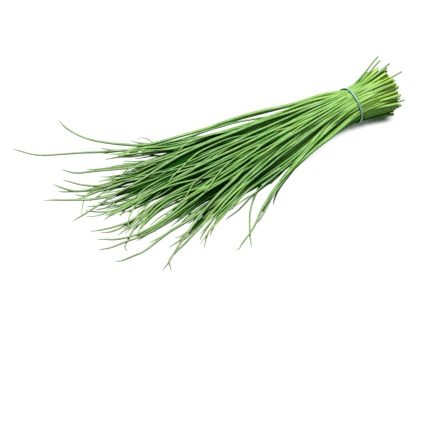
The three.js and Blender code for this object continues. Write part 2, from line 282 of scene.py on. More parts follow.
def settle(leaves, fixed=0, rounds=SETTLE_ROUNDS, stiffness=SETTLE_STIFFNESS,
           held_in=None):
    """Pushes the leaves apart where they would run through each other.

    The first leaves of the list, as many as fixed says, stay as they are."""
    knots = np.array([leaf["knots"] for leaf in leaves])
    start = knots.copy()
    places = np.array([leaf["places"] for leaf in leaves])
    radii = np.array(
        [radius_at(leaf["radius"], leaf["tip_end"], leaf["places"]) for leaf in leaves]
    )
    free = (np.abs(places) > HELD)[..., None]
    free[:fixed] = False
    stations = []
    for k in range(STATION_COUNT):
        s = STATION_FIRST + k * STATION_STEP
        here = [
            i for i, leaf in enumerate(leaves)
            if abs(s) >= HELD and leaf["places"][0] <= s <= leaf["tip_end"]
        ]
        if len(here) < 2:
            continue
        here = np.array(here)
        span = np.array([max(np.searchsorted(places[i], s) - 1, 0) for i in here])
        first, last = places[here, span], places[here, span + 1]
        part = (s - first) / (last - first)
        radius = np.array(
            [radius_at(leaves[i]["radius"], leaves[i]["tip_end"], s) for i in here]
        )
        wanted = radius[:, None] + radius[None] + LEAF_CLEARANCE
        stations.append((here, span, part, wanted))
    for _ in range(rounds):
        along = np.diff(knots, axis=1)
        along /= np.linalg.norm(along, axis=2, keepdims=True)
        sums = np.zeros_like(knots)
        weights = np.zeros(knots.shape[:2])
        for here, span, part, wanted in stations:
            a, b = knots[here, span], knots[here, span + 1]
            points = a + (b - a) * part[:, None]
            ways = along[here, span]
            apart = points[:, None] - points[None]
            near = np.abs(apart[..., 1]) <= wanted + STATION_STEP
            near &= np.abs(apart[..., 2]) <= wanted
            np.fill_diagonal(near, False)
            i, j = np.nonzero(near)
            if not len(i):
                continue
            gap = apart[i, j]
            way = ways[i] + ways[j]
            way /= np.linalg.norm(way, axis=1, keepdims=True)
            gap = gap - (gap * way).sum(1)[:, None] * way
            distance = np.maximum(np.linalg.norm(gap, axis=1), 0.01)
            hit = distance < wanted[i, j]
            i, j, gap, distance = i[hit], j[hit], gap[hit], distance[hit]
            gap *= ((wanted[i, j] - distance) / (2 * distance))[:, None]
            shift = np.zeros((len(here), 3))
            np.add.at(shift, i, gap)
            moved = np.unique(i)
            leaf, knot, share = here[moved], span[moved], part[moved]
            np.add.at(sums, (leaf, knot), shift[moved] * (1 - share)[:, None])
            np.add.at(sums, (leaf, knot + 1), shift[moved] * share[:, None])
            np.add.at(weights, (leaf, knot), (1 - share) ** 2)
            np.add.at(weights, (leaf, knot + 1), share**2)
        push = sums * (SETTLE_PUSH / np.maximum(1, weights))[..., None]
        knots = np.where(free, knots + push, knots)
        shifts = knots - start
        before = np.concatenate([shifts[:, :1], shifts[:, :-1]], axis=1)
        after = np.concatenate([shifts[:, 1:], shifts[:, -1:]], axis=1)
        moved = knots + ((before + after) * 0.5 - shifts) * stiffness
        if held_in:
            held_in(moved)
        moved[..., 2] = np.maximum(moved[..., 2] - SETTLE_SAG, radii)
        knots = np.where(free, moved, knots)
    for leaf, line in zip(leaves, knots):
        leaf["knots"] = line


# ---------------------------------------------------------- the photograph
# The scene's camera stands where the photograph's did: the waist is seen at
# WAIST_PIXEL of a frame of FRAME_PIXELS each way, at PIXEL_SIZE millimetres to
# a pixel. What is read from the photograph is kept as its pixels, and
# the same camera turns them into places in the bunch.

CAMERA_AZIMUTH = -35
CAMERA_ELEVATION = 46
CAMERA_LENS = 100
SENSOR = 36
FRAME_PIXELS = 430
PIXEL_SIZE = 0.83
WAIST_PIXEL = (351, 105.5)

HEIGHT_GUESS = 8       # a pixel's height is searched for from here
HEIGHT_ROUNDS = 40
LOWEST = 0.65          # the least height of the middle of a leaf of the source
OFF_FLOOR = 0.05       # the least gap under a leaf

# The top of the pile that the thin leaves lie on: the distances from the waist
# where its height is known, and how far it lies above the source's rule there.
PILE_PLACES = (0, NEAR_DISTANCE, 100, 175, 235)
ABOVE_NEAR = 2.2
ABOVE_FAR = 2.7
PILE_END = 2.5         # its height at the last of those places
TIP_SINK = 0.8         # how evenly a leaf goes from the pile to its tip's height

# The leaves of STRAY_LEAVES, in their order: the pixels that each goes
# through in the photograph, from its tip inwards.
LEAF_PIXELS = (
    ((58.5, 120), (64, 126), (70, 130.5), (78, 135), (85, 138), (92, 140.2), (101, 142),
     (113, 143.3), (125, 144.5), (138, 145.3), (148, 144.5), (158, 142.3), (170, 139), (200, 130.5),
     (228, 121), (245, 115.5), (262, 111), (280, 107.5), (292, 104.5), (308, 99.5), (325, 94.5)),
    ((13, 149.3), (22, 151.5), (32, 154), (38, 154.8), (60, 154.3), (80, 153), (100, 152.4),
     (115, 151), (130, 149.5), (145, 147.5), (160, 145), (176, 141.5), (195, 135.5), (207, 132.5),
     (225, 129), (242, 126)),
    ((101, 148.3), (108, 149.5), (115, 150.3), (125, 150.2), (140, 149.5), (155, 148.5)),
    ((105, 159.5), (112, 158.2), (118, 157.2), (130, 156.7), (142, 155.3), (155, 153.5)),
    ((131, 139.5), (134, 141.5), (138, 142.7), (143, 143.3), (149, 144), (160, 145)),
    ((62, 169.5), (65, 170.5), (72, 172.4), (78, 172.8), (90, 171.8), (105, 170.2), (118, 169),
     (130, 167.5), (140, 165), (150, 162), (160, 158.5)),
    ((86, 169.3), (95, 169.2), (105, 168.3), (118, 167), (130, 166), (140, 163.5), (150, 160.3),
     (160, 156.5)),
    ((63, 180.2), (70, 182), (78, 184), (88, 185.2), (100, 185.2), (110, 182.5), (125, 177),
     (140, 172)),
    ((53, 184.5), (60, 187.3), (68, 189.8), (75, 191), (85, 190.3), (95, 187.5), (105, 184.5),
     (120, 180)),
    ((58, 191.2), (63, 192), (70, 191.8), (80, 191.5), (92, 190.5), (105, 187.5)),
    ((44, 200.5), (55, 200), (65, 200.2), (78, 200), (92, 199.5), (100, 198.3), (110, 196),
     (125, 190.5)),
    ((75, 194.3), (79, 195.5), (86, 195.8), (95, 192.5), (105, 189.5)),
    ((99, 181.2), (105, 180.2), (112, 178.5), (120, 175.5), (130, 171), (142, 166.5)),
    ((87, 206.3), (92, 206), (100, 204.8), (108, 203.5), (115, 201), (125, 196.5)),
    ((85, 209.8), (88, 210.8), (95, 211.8), (105, 212), (112, 210.8), (120, 209), (130, 206.5),
     (140, 203)),
    ((73, 221.5), (76, 219), (82, 215.5), (88, 211.8), (95, 207.5), (102, 203), (108, 199),
     (116, 194), (126, 188.5)),
    ((104, 220.5), (108, 217.5), (113, 214.5), (120, 210.5), (128, 205)),
    ((120, 216), (124, 211), (129, 205), (137, 199)),
    ((90, 231.5), (97, 230.8), (105, 229.3), (113, 227.3), (120, 225), (127, 222.3), (135, 218)),
    ((101, 232.2), (106, 232.5), (112, 231.3), (118, 229), (124, 226), (131, 221.5), (140, 215.5)),
    ((97, 239.3), (105, 239.2), (112, 239.3), (120, 238.5), (128, 237.2), (136, 235), (145, 231),
     (156, 225)),
    ((118, 235.5), (122, 232.3), (127, 229), (133, 223.5), (140, 216)),
    ((99, 249.8), (108, 248.5), (116, 246), (123, 243), (130, 240.3), (138, 237.5), (148, 233.5),
     (160, 227)),
    ((127.5, 250.5), (125.4, 249), (125.2, 246), (127, 242), (129.5, 237), (133, 230), (138, 222),
     (145, 213)),
    ((115, 261.2), (121, 261), (127, 259), (134, 256), (142, 252.5), (148, 248.5), (154, 243.5),
     (160, 238.5), (168, 232.5), (180, 225.5), (190, 219.5), (203, 211)),
    ((162.5, 271), (166, 266), (169, 261.5), (173, 254), (178, 246), (184, 238), (189, 231),
     (194, 224), (199, 217), (207, 207), (217, 196), (229, 184), (242, 171), (258, 157), (275, 144),
     (293, 131), (311, 119), (325, 111), (338, 104)),
    ((171, 270.5), (170, 266), (168.8, 262), (171, 257.5), (176, 252), (184, 244.5), (192, 236),
     (200, 227.5), (207, 219), (215, 209), (226, 197), (238, 184.5), (251, 172), (266, 158.5),
     (283, 145), (300, 132), (315, 121.5), (330, 112.5)),
    ((169, 247.5), (174, 244), (180, 240.5), (188, 233.5), (198, 225)),
    ((174.5, 238), (180, 236.3), (185, 233.5), (192, 228), (201, 220)),
    ((199.5, 240.5), (203, 234), (207, 227.5), (212, 220.5), (220, 211)),
    ((204.5, 248), (205.5, 243), (206.5, 237.5), (208.5, 232), (213, 226), (221, 217.5),
     (229, 208.5), (240, 197)),
    ((236.5, 249.4), (238.6, 249.2), (241, 245.5), (245, 239.5), (250, 233), (254, 226),
     (258.2, 217.5), (262, 209.5), (267, 201), (272.5, 192), (279, 183.5), (288, 174)),
    ((251.5, 247), (250.8, 240), (250, 232), (249.5, 222), (250, 212), (252.5, 202), (256, 194),
     (260, 186), (266, 176.5), (275, 166)),
    ((258, 222.5), (261.3, 217), (264.3, 211), (267.5, 204.5), (272, 196), (277.5, 187),
     (284, 177.5), (291.5, 168), (300, 157), (310, 144.5), (319, 134), (328, 124)),
    ((262, 212), (266, 205.5), (271, 197.5), (276, 189.5), (282, 180.5), (290, 170), (300, 158.5),
     (311, 146.5)),
    ((226, 219.5), (232, 215), (238, 210), (244, 204), (250, 198), (256, 193), (263, 187.5),
     (271, 181.5), (280, 173.5)),
    ((273, 205), (274.3, 199), (277, 192), (281, 185.5), (287, 177.5), (295, 168), (305, 156),
     (316, 146)),
)

# Thin leaves that the source leaves out: the place across and up in the waist,
# the radius, the height of the tip (None where it ends on the pile), and the
# pixels, again from the tip inwards. The first ROUNDED of them have their
# height on the pile read to a tenth of a millimetre, and the rest as it comes.
ROUNDED = 22
EXTRA_PIXELS = (
    ((0.93, 0.1), 0.8, 3, ((137, 138.7), (140, 138.2), (145, 138.6), (150, 140.5), (153.5, 143),
        (160, 145.5), (172, 146.5), (190, 144))),
    ((0.45, 0.2), 0.9, 3, ((67, 200.3), (76, 199.2), (85, 196.8), (95, 193), (108, 188),
        (122, 183))),
    ((0.15, 0.55), 0.9, 4, ((86, 216.8), (95, 216), (103, 214), (111, 211.3), (120, 208),
        (132, 202.5))),
    ((-0.05, 0.9), 0.7, 3, ((81.5, 216), (82, 210), (83, 204), (84.5, 199), (88, 194), (96, 188.5),
        (108, 184.5))),
    ((-0.5, 0.6), 0.9, 2, ((200, 244), (204, 238.5), (208.5, 232), (214, 226), (221, 218.5),
        (229, 209.5), (240, 198))),
    ((-0.7, 0.35), 0.8, 4, ((229, 210.5), (236, 205), (245, 199), (255, 192.5), (264, 185))),
    ((-0.75, 0.2), 1.3, 3, ((270.5, 184), (276, 178.5), (282, 172.5), (289, 165.5), (300, 153.5))),
    ((-0.55, 0.1), 1.2, 5, ((268, 172.5), (275, 168.3), (283, 164.3), (290, 160), (300, 152),
        (312, 142))),
    ((0.35, 0.93), 0.75, None, ((169, 182.5), (171.5, 178), (176, 173.3), (183, 166.5),
        (190, 159.3), (197, 153.8), (207, 148), (222, 141))),
    ((0, 0.97), 0.75, None, ((203, 194.5), (207.5, 188.5), (213, 181.5), (218.5, 173), (224, 166.5),
        (233, 159.5), (246, 151))),
    ((0.6, 0.75), 0.7, None, ((176, 153.5), (180, 149.5), (186, 144), (193, 140.5), (205, 137))),
    ((-0.15, 0.9), 0.7, None, ((183, 200), (187.5, 193.5), (191, 187), (197, 180.5), (208, 172.5))),
    ((-0.1, 0.75), 0.9, 3, ((130.5, 229), (128.2, 224.5), (128.5, 219.5), (131, 213), (135.5, 206),
        (143, 199), (155, 192))),
    ((-0.2, 0.8), 0.8, 4, ((136, 240), (139, 231), (144, 221.5), (150, 213.5), (158, 206))),
    ((0.05, 0.85), 0.9, None, ((130, 203), (137, 195.5), (146, 188), (158, 181))),
    ((-0.3, 0.7), 0.9, 4, ((172, 220), (175, 214.5), (179, 209), (186, 202.5), (198, 193))),
    ((-0.25, 0.75), 0.8, 4, ((163, 225), (168, 219.5), (171, 213), (177, 206), (187, 197.5))),
    ((0.1, 0.7), 0.7, 6, ((110, 197), (113, 202), (116, 205), (124, 203), (135, 197))),
    ((-0.35, 0.85), 0.9, 4, ((150, 226), (158, 219), (168, 212), (180, 203.5))),
    ((0.5, 0.85), 0.9, 5, ((118, 156.5), (125, 153), (135, 151), (150, 150.5), (168, 149.5))),
    ((0.55, 0.6), 0.8, 5, ((108, 155), (113, 154), (120, 154.8), (130, 154), (145, 152),
        (165, 149))),
    ((0.3, 0.8), 0.8, 9, ((120, 176), (124, 172), (130, 168.3), (139, 166.5), (152, 163))),
    ((-0.8, 0.3), 1.6, 4, ((262.3, 212), (265.3, 206.5), (270, 198.5), (277, 188.5), (287, 176.5),
        (300, 163), (315, 149.5), (330, 138))),
    ((-0.72, 0.5), 1.35, 5, ((260, 211), (264, 205.5), (269, 197.5), (275, 189), (283, 179),
        (293, 167), (307, 152.5), (322, 139.5))),
    ((-0.6, 0.68), 1.2, 6, ((262, 208), (270, 196), (281, 181.5), (291, 167), (303, 152.5),
        (317, 139), (328, 128.5), (337, 120.5))),
    ((-0.66, 0.35), 1.35, 8, ((270, 184), (276, 177), (282, 169.5), (291, 159), (302, 148),
        (316, 136), (330, 126))),
    ((-0.9, -0.1), 0.95, 3, ((266, 175), (272, 170), (282, 166), (292, 161), (303, 152.5),
        (316, 141.5), (330, 132))),
    ((0.3, 0.85), 0.85, 6, ((126, 150), (140, 147), (152, 146.5), (166, 143), (185, 138),
        (205, 131.5), (230, 124))),
    ((0.15, 0.9), 0.85, 5, ((109, 154.5), (122, 153), (135, 149.5), (150, 147.5), (168, 146.5),
        (190, 141), (215, 132.5), (240, 124))),
    ((-0.25, 0.95), 0.8, 4, ((128, 222), (140, 213), (150, 202), (163, 190), (180, 178), (205, 163),
        (232, 146))),
    ((0.05, 0.97), 0.8, 4, ((110, 214), (122, 208), (136, 205), (150, 196), (168, 184), (190, 170),
        (215, 154))),
    ((0.82, 0.52), 1.15, 5, ((150, 146), (170, 143), (190, 137), (210, 130), (225, 124.6),
        (240, 119.2), (255, 115), (270, 111), (285, 107.2), (300, 103.2), (315, 99.3))),
)

# The outline of the bunch without its stray leaves. The other leaves end
# inside it, so that the same gaps show.
OUTLINE_PIXELS = (
    (341, 88), (300, 101), (270, 111), (240, 123), (215, 130), (190, 136), (165, 141), (150, 145),
    (125, 149), (103, 149), (103, 153), (113, 154), (105, 159), (125, 158.5), (150, 156.5),
    (166, 154.5), (148, 159), (120, 162.5), (108.1, 164.7), (108.4, 170.6), (112, 171), (136, 168),
    (152, 166.5), (120, 174), (100, 181), (118, 180), (104, 184), (80, 186), (62, 190), (64, 194),
    (82, 193), (76, 197), (96, 199), (112, 198), (103, 203), (88, 206), (96, 208), (84, 211),
    (100, 212), (86, 218), (102, 217), (116, 212), (104, 220), (126, 212), (134, 210), (127, 222),
    (116, 225), (128, 226), (118, 236), (134, 227), (127, 240), (126, 249), (132, 248), (136, 239),
    (150, 234), (168, 227), (180, 222), (150, 243), (148, 249), (172, 234), (190, 220), (186, 232),
    (170, 246), (184, 240), (168, 258), (170, 262), (186, 245), (204, 224), (199, 240), (206, 247),
    (214, 229), (223.4, 216.1), (231.3, 208.1), (240.9, 198.3), (251.3, 188.1), (263.5, 177),
    (275.9, 167.1), (286.75, 161.75), (313, 152), (330, 139), (345, 130.5), (358, 123),
)


def level_axes(back):
    """The directions to the right and upwards for what looks along -back."""
    right = np.cross([0, 0, 1.0], back)
    right /= np.linalg.norm(right)
    return right, np.cross(back, right)


class Photograph:
    """The photograph's camera, in the bunch's own frame."""

    def __init__(self):
        azimuth, elevation = math.radians(CAMERA_AZIMUTH), math.radians(CAMERA_ELEVATION)
        self.back = np.array([
            math.sin(azimuth) * math.cos(elevation),
            -math.cos(azimuth) * math.cos(elevation),
            math.sin(elevation),
        ])
        self.right, self.up = level_axes(self.back)
        self.focal = CAMERA_LENS / SENSOR * FRAME_PIXELS
        waist = np.array([0, 0, WAIST_HEIGHT])
        self.eye = waist - self.way(WAIST_PIXEL) * self.focal * PIXEL_SIZE

    def way(self, pixel):
        """The direction in which the camera sees a pixel."""
        x, y = (np.array(pixel) - FRAME_PIXELS / 2) / self.focal
        return self.right * x - self.up * y - self.back

    def point(self, pixel, height):
        """The point at this height that is seen at the pixel."""
        way = self.way(pixel)
        return self.eye + way * (height - self.eye[2]) / way[2]

    def height(self, pixel, profile, least):
        """The height at the pixel of what follows a profile.

        A profile is the distances from the waist and the heights there."""
        height = HEIGHT_GUESS
        for _ in range(HEIGHT_ROUNDS):
            x, y, _ = self.point(pixel, height)
            height += max(np.interp(math.hypot(x, y), *profile), least)
            height /= 2
        return height


photo = Photograph()


def tenths(numbers):
    """Numbers rounded to a tenth of a millimetre."""
    return tuple(round(float(number), 1) for number in numbers)


def stray_points(leaf, pixels):
    """A leaf's way out through its pixels, as high as the source's leaf lies."""
    knots = leaf["knots"]
    away = np.linalg.norm(knots[:, :2] - (0, knots[1, 1]), axis=1)
    away[:2] *= -1
    profile = away, knots[:, 2]
    return [
        tenths(photo.point(pixel, photo.height(pixel, profile, LOWEST)))
        for pixel in reversed(pixels)
    ]


def extra_points(up, radius, tip_height, pixels, rounded):
    """The way out of a leaf that lies on the pile and leaves it at its tip."""
    share = (up + 1) / 2
    heights = (
        WAIST_HEIGHT + WAIST_RADIUS * up,
        PILE_NEAR * share + ABOVE_NEAR,
        PILE_MID * share + ABOVE_FAR,
        PILE_FAR * share + ABOVE_FAR,
        PILE_END,
    )
    least = radius + OFF_FLOOR
    points = []
    for pixel, part in zip(reversed(pixels), np.linspace(1, 0, len(pixels))):
        height = photo.height(pixel, (PILE_PLACES, heights), least)
        if rounded:
            height = round(height, 1)
        if tip_height is not None:
            height = tip_height + (height - tip_height) * part**TIP_SINK
        points.append(tenths(photo.point(pixel, max(height, least))))
    return points


OUTLINE = [tenths(photo.point(pixel, 0)[:2]) for pixel in OUTLINE_PIXELS]

# ------------------------------------------------- the leaves' ways outwards

PATH_JOIN = 45         # how far a leaf takes to reach the first point read for it
CLOSE_PATH = 40        # a path that starts this near the waist rules the place in it
CLOSE_BACK = 0.05      # its slope from there back to the waist
ORDER_AT = 75          # where a leaf's way out of the band is read
ORDER_PASSES = 6
JOIN_READ = 67         # where a read leaf's way starts again beyond the band,
JOIN_CLOSE = 12        # where it does if its path starts near the waist,
JOIN_DRAWN = 93        # and where a drawn leaf's way does
COMBED = 0.8
FIRST_OUT = 3          # a leaf's first knot beyond the band,
COMB_FIRST = 4         # the first that is combed and gathered,
SIDE_KNOTS = slice(3, 7)  # and those that stay between the sides

CUT_MIDDLE = 41.5      # the cut ends' length in the middle of the bunch
CUT_ROUND = 7.5        # how much shorter they are round its outside,
CUT_FAR = 4            # low on the far side, below this place in the waist,
CUT_FAR_UP = 0.4
CUT_BELOW = 10         # and underneath, below this one
CUT_BELOW_UP = -0.25
CUT_UNEVEN = 2.7
CUT_LONGER = 3         # how far the longest few stand out
CUT_SPREAD = 1.12
CUT_SHAKE = 1.2
CUT_UNDER = 8          # how far the lowest ones lean to the near side
CUT_OFF_FLOOR = 0.3

# The sides of the bunch behind the band, as they are seen in the photograph.
# A point's place along a side is x + AWAY_RISE * z, and across it y + NEAR_RISE * z:
# each side is a list of distances from the band and places across.
AWAY_RISE = 0.554
NEAR_RISE = 0.79
EDGE_ROOM = 1.2        # room for a leaf's own thickness
KNOT_LEAST = 1.2       # the least height of a knot between the sides
SOFT_EDGE = 9
TOP_LEAVES = 6         # leaves this far above the far gap stay above it
NEAR_EDGE = ((0, -5), (10, -5.8), (27, -7.3), (49, -12.1), (72, -21.4), (92, -28.7),
             (100, -34), (107, -40), (113, -45), (140, -62))
# The same for the leaves behind the gap that sets the nearest few apart.
BODY_EDGE = ((0, -5), (10, -6), (24, -6), (36, -2.4), (48, -1.8), (60, -3.7), (73, -6.5),
             (84, -7.5), (99, -10.8), (114.5, -15.4), (128, -20), (140.5, -24.4),
             (150.5, -27.9), (163, -32.3), (173.5, -35.3))
# And the far side, below the gap under the top leaves.
FAR_EDGE = ((0, 39.5), (10.5, 40), (21.5, 39.8), (31, 38.9), (40, 40.6), (50, 41.9),
            (59.5, 43.1), (69, 44.4), (78.5, 45.3), (88, 47), (97, 49.7), (109.5, 54),
            (121.5, 59.2))

GATHER = 0.6           # how far the outer leaves are drawn to the nearest bundle
GATHER_LIMIT = 9
GATHER_FROM = 100      # the distance from the band where a leaf's outer part starts
GATHER_EASE = (85, 165)
GATHER_REACH = 30      # guides further away than this are as good as none
GATHER_UP = 0.5
GUIDE_FROM = 90
GUIDE_STEP = 3.0

TRIM_FROM = 110        # how far along a leaf the outline first counts,
TRIM_LEAST = 95        # and the least that is left of a leaf
TRIM_STEP = 1.5
TRIM_RUN = 5           # steps outside the outline that end a leaf
TRIM_SHORTER = 45      # the most that a leaf ends short of the outline


def eased(value, start, end, most=1):
    """From 0 at start to 1 at end, and on to most."""
    return np.clip((value - start) / (end - start), 0, most)


def lengths_along(first, points):
    steps = np.linalg.norm(np.diff(points, axis=0), axis=1)
    return first + np.concatenate([[0], np.cumsum(steps)])


def follow(leaf, points):
    """Sends a leaf through the given points, from where they start."""
    points = np.array(points, float)
    near = math.hypot(*points[0][:2]) - PATH_JOIN
    keep = [
        k for k in range(FIRST_OUT, len(leaf["places"]) - 1)
        if math.hypot(*leaf["knots"][k][:2]) < near
    ]
    line = np.vstack([leaf["knots"][2:3], leaf["knots"][keep], points])
    places = np.concatenate([leaf["places"][:2], lengths_along(HELD, line)])
    leaf["path"] = (places, np.vstack([leaf["knots"][:2], line]))


def way_of(leaf):
    """Places along a leaf and its points there."""
    return leaf.get("path", (leaf["places"], leaf["knots"]))


def hermite(places, knots, s):
    """The points at the lengths s of a smooth line through the knots."""
    slopes = np.gradient(knots, places, axis=0)
    span = np.clip(np.searchsorted(places, s) - 1, 0, len(places) - 2)
    wide = (places[span + 1] - places[span])[:, None]
    t = (s - places[span])[:, None] / wide
    return (
        (2 * t**3 - 3 * t**2 + 1) * knots[span]
        + (t**3 - 2 * t**2 + t) * wide * slopes[span]
        + (3 * t**2 - 2 * t**3) * knots[span + 1]
        + (t**3 - t**2) * wide * slopes[span + 1]
    )


def starts_close(leaf):
    """True where a leaf's path is read from close to the waist."""
    return "path" in leaf and -leaf["path"][1][FIRST_OUT][0] < CLOSE_PATH


def reorder(leaves):
    """Gives each leaf the place in the band that is nearest to its way out.

    The leaves then leave the band side by side and don't cross close to it."""
    outs = np.array([hermite(*way_of(leaf), np.array([ORDER_AT]))[0] for leaf in leaves])
    outs = (outs[:, 1:] - outs[:, 1:].mean(axis=0)) / (2 * outs[:, 1:].std(axis=0))
    slots = np.array([leaf["slot"] for leaf in leaves])
    settled = np.array([leaf["own_cut"] for leaf in leaves])
    for i, leaf in enumerate(leaves):
        if starts_close(leaf):
            x, y, z = leaf["path"][1][FIRST_OUT]
            outs[i] = (y - x * CLOSE_BACK, z - WAIST_HEIGHT)
            outs[i] /= WAIST_RADIUS
    for _ in range(ORDER_PASSES):
        for i in np.flatnonzero(~settled):
            now = ((outs - slots) ** 2).sum(1) + ((outs[i] - slots[i]) ** 2).sum()
            then = ((outs - slots[i]) ** 2).sum(1) + ((outs[i] - slots) ** 2).sum(1)
            gain = np.where(settled, 0, now - then)
            j = int(gain.argmax())
            if gain[j] > 1e-9:
                slots[[i, j]] = slots[[j, i]]
    for leaf, slot in zip(leaves, slots):
        leaf["slot"] = (float(slot[0]), float(slot[1]))


def cut_end(leaf, rng):
    """Where a leaf is cut. The bunch is cut round, and shorter underneath."""
    across, up = leaf["slot"]
    spread = WAIST_RADIUS * CUT_SPREAD
    height = WAIST_HEIGHT + spread * up + rng.uniform(-1, 1) * CUT_SHAKE
    length = CUT_MIDDLE - CUT_ROUND * (across**2 + up**2)
    length -= CUT_FAR * max(across, 0) * max(CUT_FAR_UP - up, 0)
    length -= CUT_BELOW * max(CUT_BELOW_UP - up, 0)
    length += rng.uniform(-1, 1) * CUT_UNEVEN + CUT_LONGER * rng.uniform(0, 1) ** 8
    side = spread * across + CUT_LEAN - CUT_UNDER * max(-up, 0)
    side += rng.uniform(-1, 1) * CUT_SHAKE
    return length, side, max(height, leaf["radius"] + CUT_OFF_FLOOR)


def room_inside(points, edge, side=1):
    """How far points are inside the near side's edge, or with -1 the far side's."""
    away = -(points[..., 0] + AWAY_RISE * points[..., 2])
    edge = np.array(edge, float)
    limit = np.interp(away, edge[:, 0], edge[:, 1], right=-1e3 * side)
    return side * (points[..., 1] + NEAR_RISE * points[..., 2] - limit) - EDGE_ROOM


def brought_in(points, edge, side=1):
    """Brings points that bulge out beyond an edge, behind the band, back in."""
    short = np.maximum(-room_inside(points, edge, side), 0) / (1 + NEAR_RISE**2)
    return points + side * short[..., None] * np.array([0, 1, NEAR_RISE])


def eased_in(points, edge):
    """The same, level, and without a crowd of points on the edge itself."""
    room = room_inside(points, edge)
    soft = SOFT_EDGE * np.exp(np.minimum(room / SOFT_EDGE - 1, 0))
    short = np.where(room < SOFT_EDGE, soft - room, 0)
    return points + short[..., None] * np.array([0, 1, 0])


def straighten(leaf, rng):
    """Runs a leaf smoothly from its cut end through the band and on outwards."""
    places, line = way_of(leaf)
    across, up = leaf["slot"]
    waist = (0, across * WAIST_RADIUS, WAIST_HEIGHT + up * WAIST_RADIUS)
    cut = leaf["cut"] if leaf["own_cut"] else cut_end(leaf, rng)
    if "path" in leaf:
        first = JOIN_CLOSE if starts_close(leaf) else JOIN_READ
        beyond = brought_in(line[places > first], NEAR_EDGE)
        if room_inside(beyond, FAR_EDGE, -1).min() > -TOP_LEAVES:
            beyond = brought_in(beyond, FAR_EDGE, -1)
    else:
        out = hermite(places, line, np.array([ORDER_AT]))
        beyond = np.vstack([out, line[places > JOIN_DRAWN]])
        beyond = brought_in(eased_in(beyond, BODY_EDGE), FAR_EDGE, -1)
    line = np.vstack([[cut, waist], beyond])
    places = lengths_along(-math.dist(cut, waist), line)
    leaf["tip_end"] = places[-1]
    leaf["places"] = places_to(places[0], places[-1])
    leaf["knots"] = hermite(places, line, leaf["places"])
    if "path" in leaf:
        leaf["path"] = (places, line)


def hold_sides(knots):
    """Keeps the knots behind the band between the sides, and off the floor."""
    middle = brought_in(brought_in(knots[:, SIDE_KNOTS], BODY_EDGE), FAR_EDGE, -1)
    middle[..., 2] = np.maximum(middle[..., 2], KNOT_LEAST)
    knots[:, SIDE_KNOTS] = middle


def comb(leaves):
    """Sorts the leaves' ways outwards, so that few of them cross on the way."""
    def turn_of(spot):
        return math.atan2(spot[1], -spot[0])

    order = np.array([
        turn_of(hermite(*way_of(leaf), np.array([ORDER_AT]))[0]) for leaf in leaves
    ]).argsort().argsort()
    for k in range(COMB_FIRST, len(leaves[0]["knots"])):
        angles = np.array([turn_of(leaf["knots"][k]) for leaf in leaves])
        wanted = np.sort(angles)[order]
        for leaf, angle, aim in zip(leaves, angles, wanted):
            x, y, z = leaf["knots"][k]
            reach, angle = math.hypot(x, y), angle + (aim - angle) * COMBED
            leaf["knots"][k] = (-reach * math.cos(angle), reach * math.sin(angle), z)


def gather(leaf, guides):
    """Draws a leaf's outer part to the nearest of the leaves read from the photograph."""
    knots = leaf["knots"]
    reach = np.hypot(knots[:, 0], knots[:, 1])
    outer = [k for k in range(COMB_FIRST, len(knots)) if reach[k] > GATHER_FROM]
    best, least = None, 1e9
    for guide in guides:
        apart = np.linalg.norm(guide[None, :, :2] - knots[outer][:, None, :2], axis=2)
        cost = np.minimum(apart.min(axis=1), GATHER_REACH).mean()
        if cost < least:
            least, best = cost, guide
    for k in outer:
        gap = best - knots[k]
        gap = gap[np.linalg.norm(gap[:, :2], axis=1).argmin()]
        size = np.linalg.norm(gap[:2])
        pull = GATHER * eased(reach[k], *GATHER_EASE) * min(1, GATHER_LIMIT / max(size, 1e-6))
        knots[k, :2] += gap[:2] * pull
        knots[k, 2] += gap[2] * pull * GATHER_UP


def within(spots, outline):
    """Which of the spots are inside a closed outline."""
    inside = np.zeros(len(spots), bool)
    x, y = spots[:, 0], spots[:, 1]
    for (x0, y0), (x1, y1) in zip(outline, outline[1:] + outline[:1]):
        if y0 == y1:
            continue
        cross = (y0 > y) != (y1 > y)
        inside ^= cross & (x < (x1 - x0) * (y - y0) / (y1 - y0) + x0)
    return inside


def trim(leaf, rng):
    """Ends a leaf where it would leave the outline."""
    s = np.arange(TRIM_FROM, leaf["tip_end"], TRIM_STEP)
    if not len(s):
        return
    line = hermite(*way_of(leaf), s)
    eye = photo.eye
    seen = eye + (line - eye) * (eye[2] / (eye[2] - line[:, 2:]))
    out = ~within(seen[:, :2], OUTLINE)
    run = 0
    for k, gone in enumerate(out):
        run = run + 1 if gone else 0
        if run == TRIM_RUN:
            shorter = TRIM_SHORTER * rng.uniform(0, 1) ** 1.5
            leaf["tip_end"] = max(float(s[k - TRIM_RUN + 1]) - shorter, TRIM_LEAST)
            break
    else:
        if out.all():
            leaf["tip_end"] = float(TRIM_FROM)
        elif out[-1]:
            leaf["tip_end"] = float(s[~out][-1]) + TRIM_STEP
    places = places_to(leaf["places"][0], leaf["tip_end"])
    leaf["knots"] = hermite(*way_of(leaf), places)
    leaf["places"] = places


# ------------------------------------------ the leaves the source leaves out
# Some are read from the photograph, in EXTRA_PIXELS. The others are drawn:
# common leaves over the pile, thin ones anywhere in it, and ones that fill its
# outer part. Each kind has its count, where it lies in the waist (its turn in
# degrees and the least square of its distance), how much shorter it may be,
# its radius, and for the last kind how much shorter it is instead.

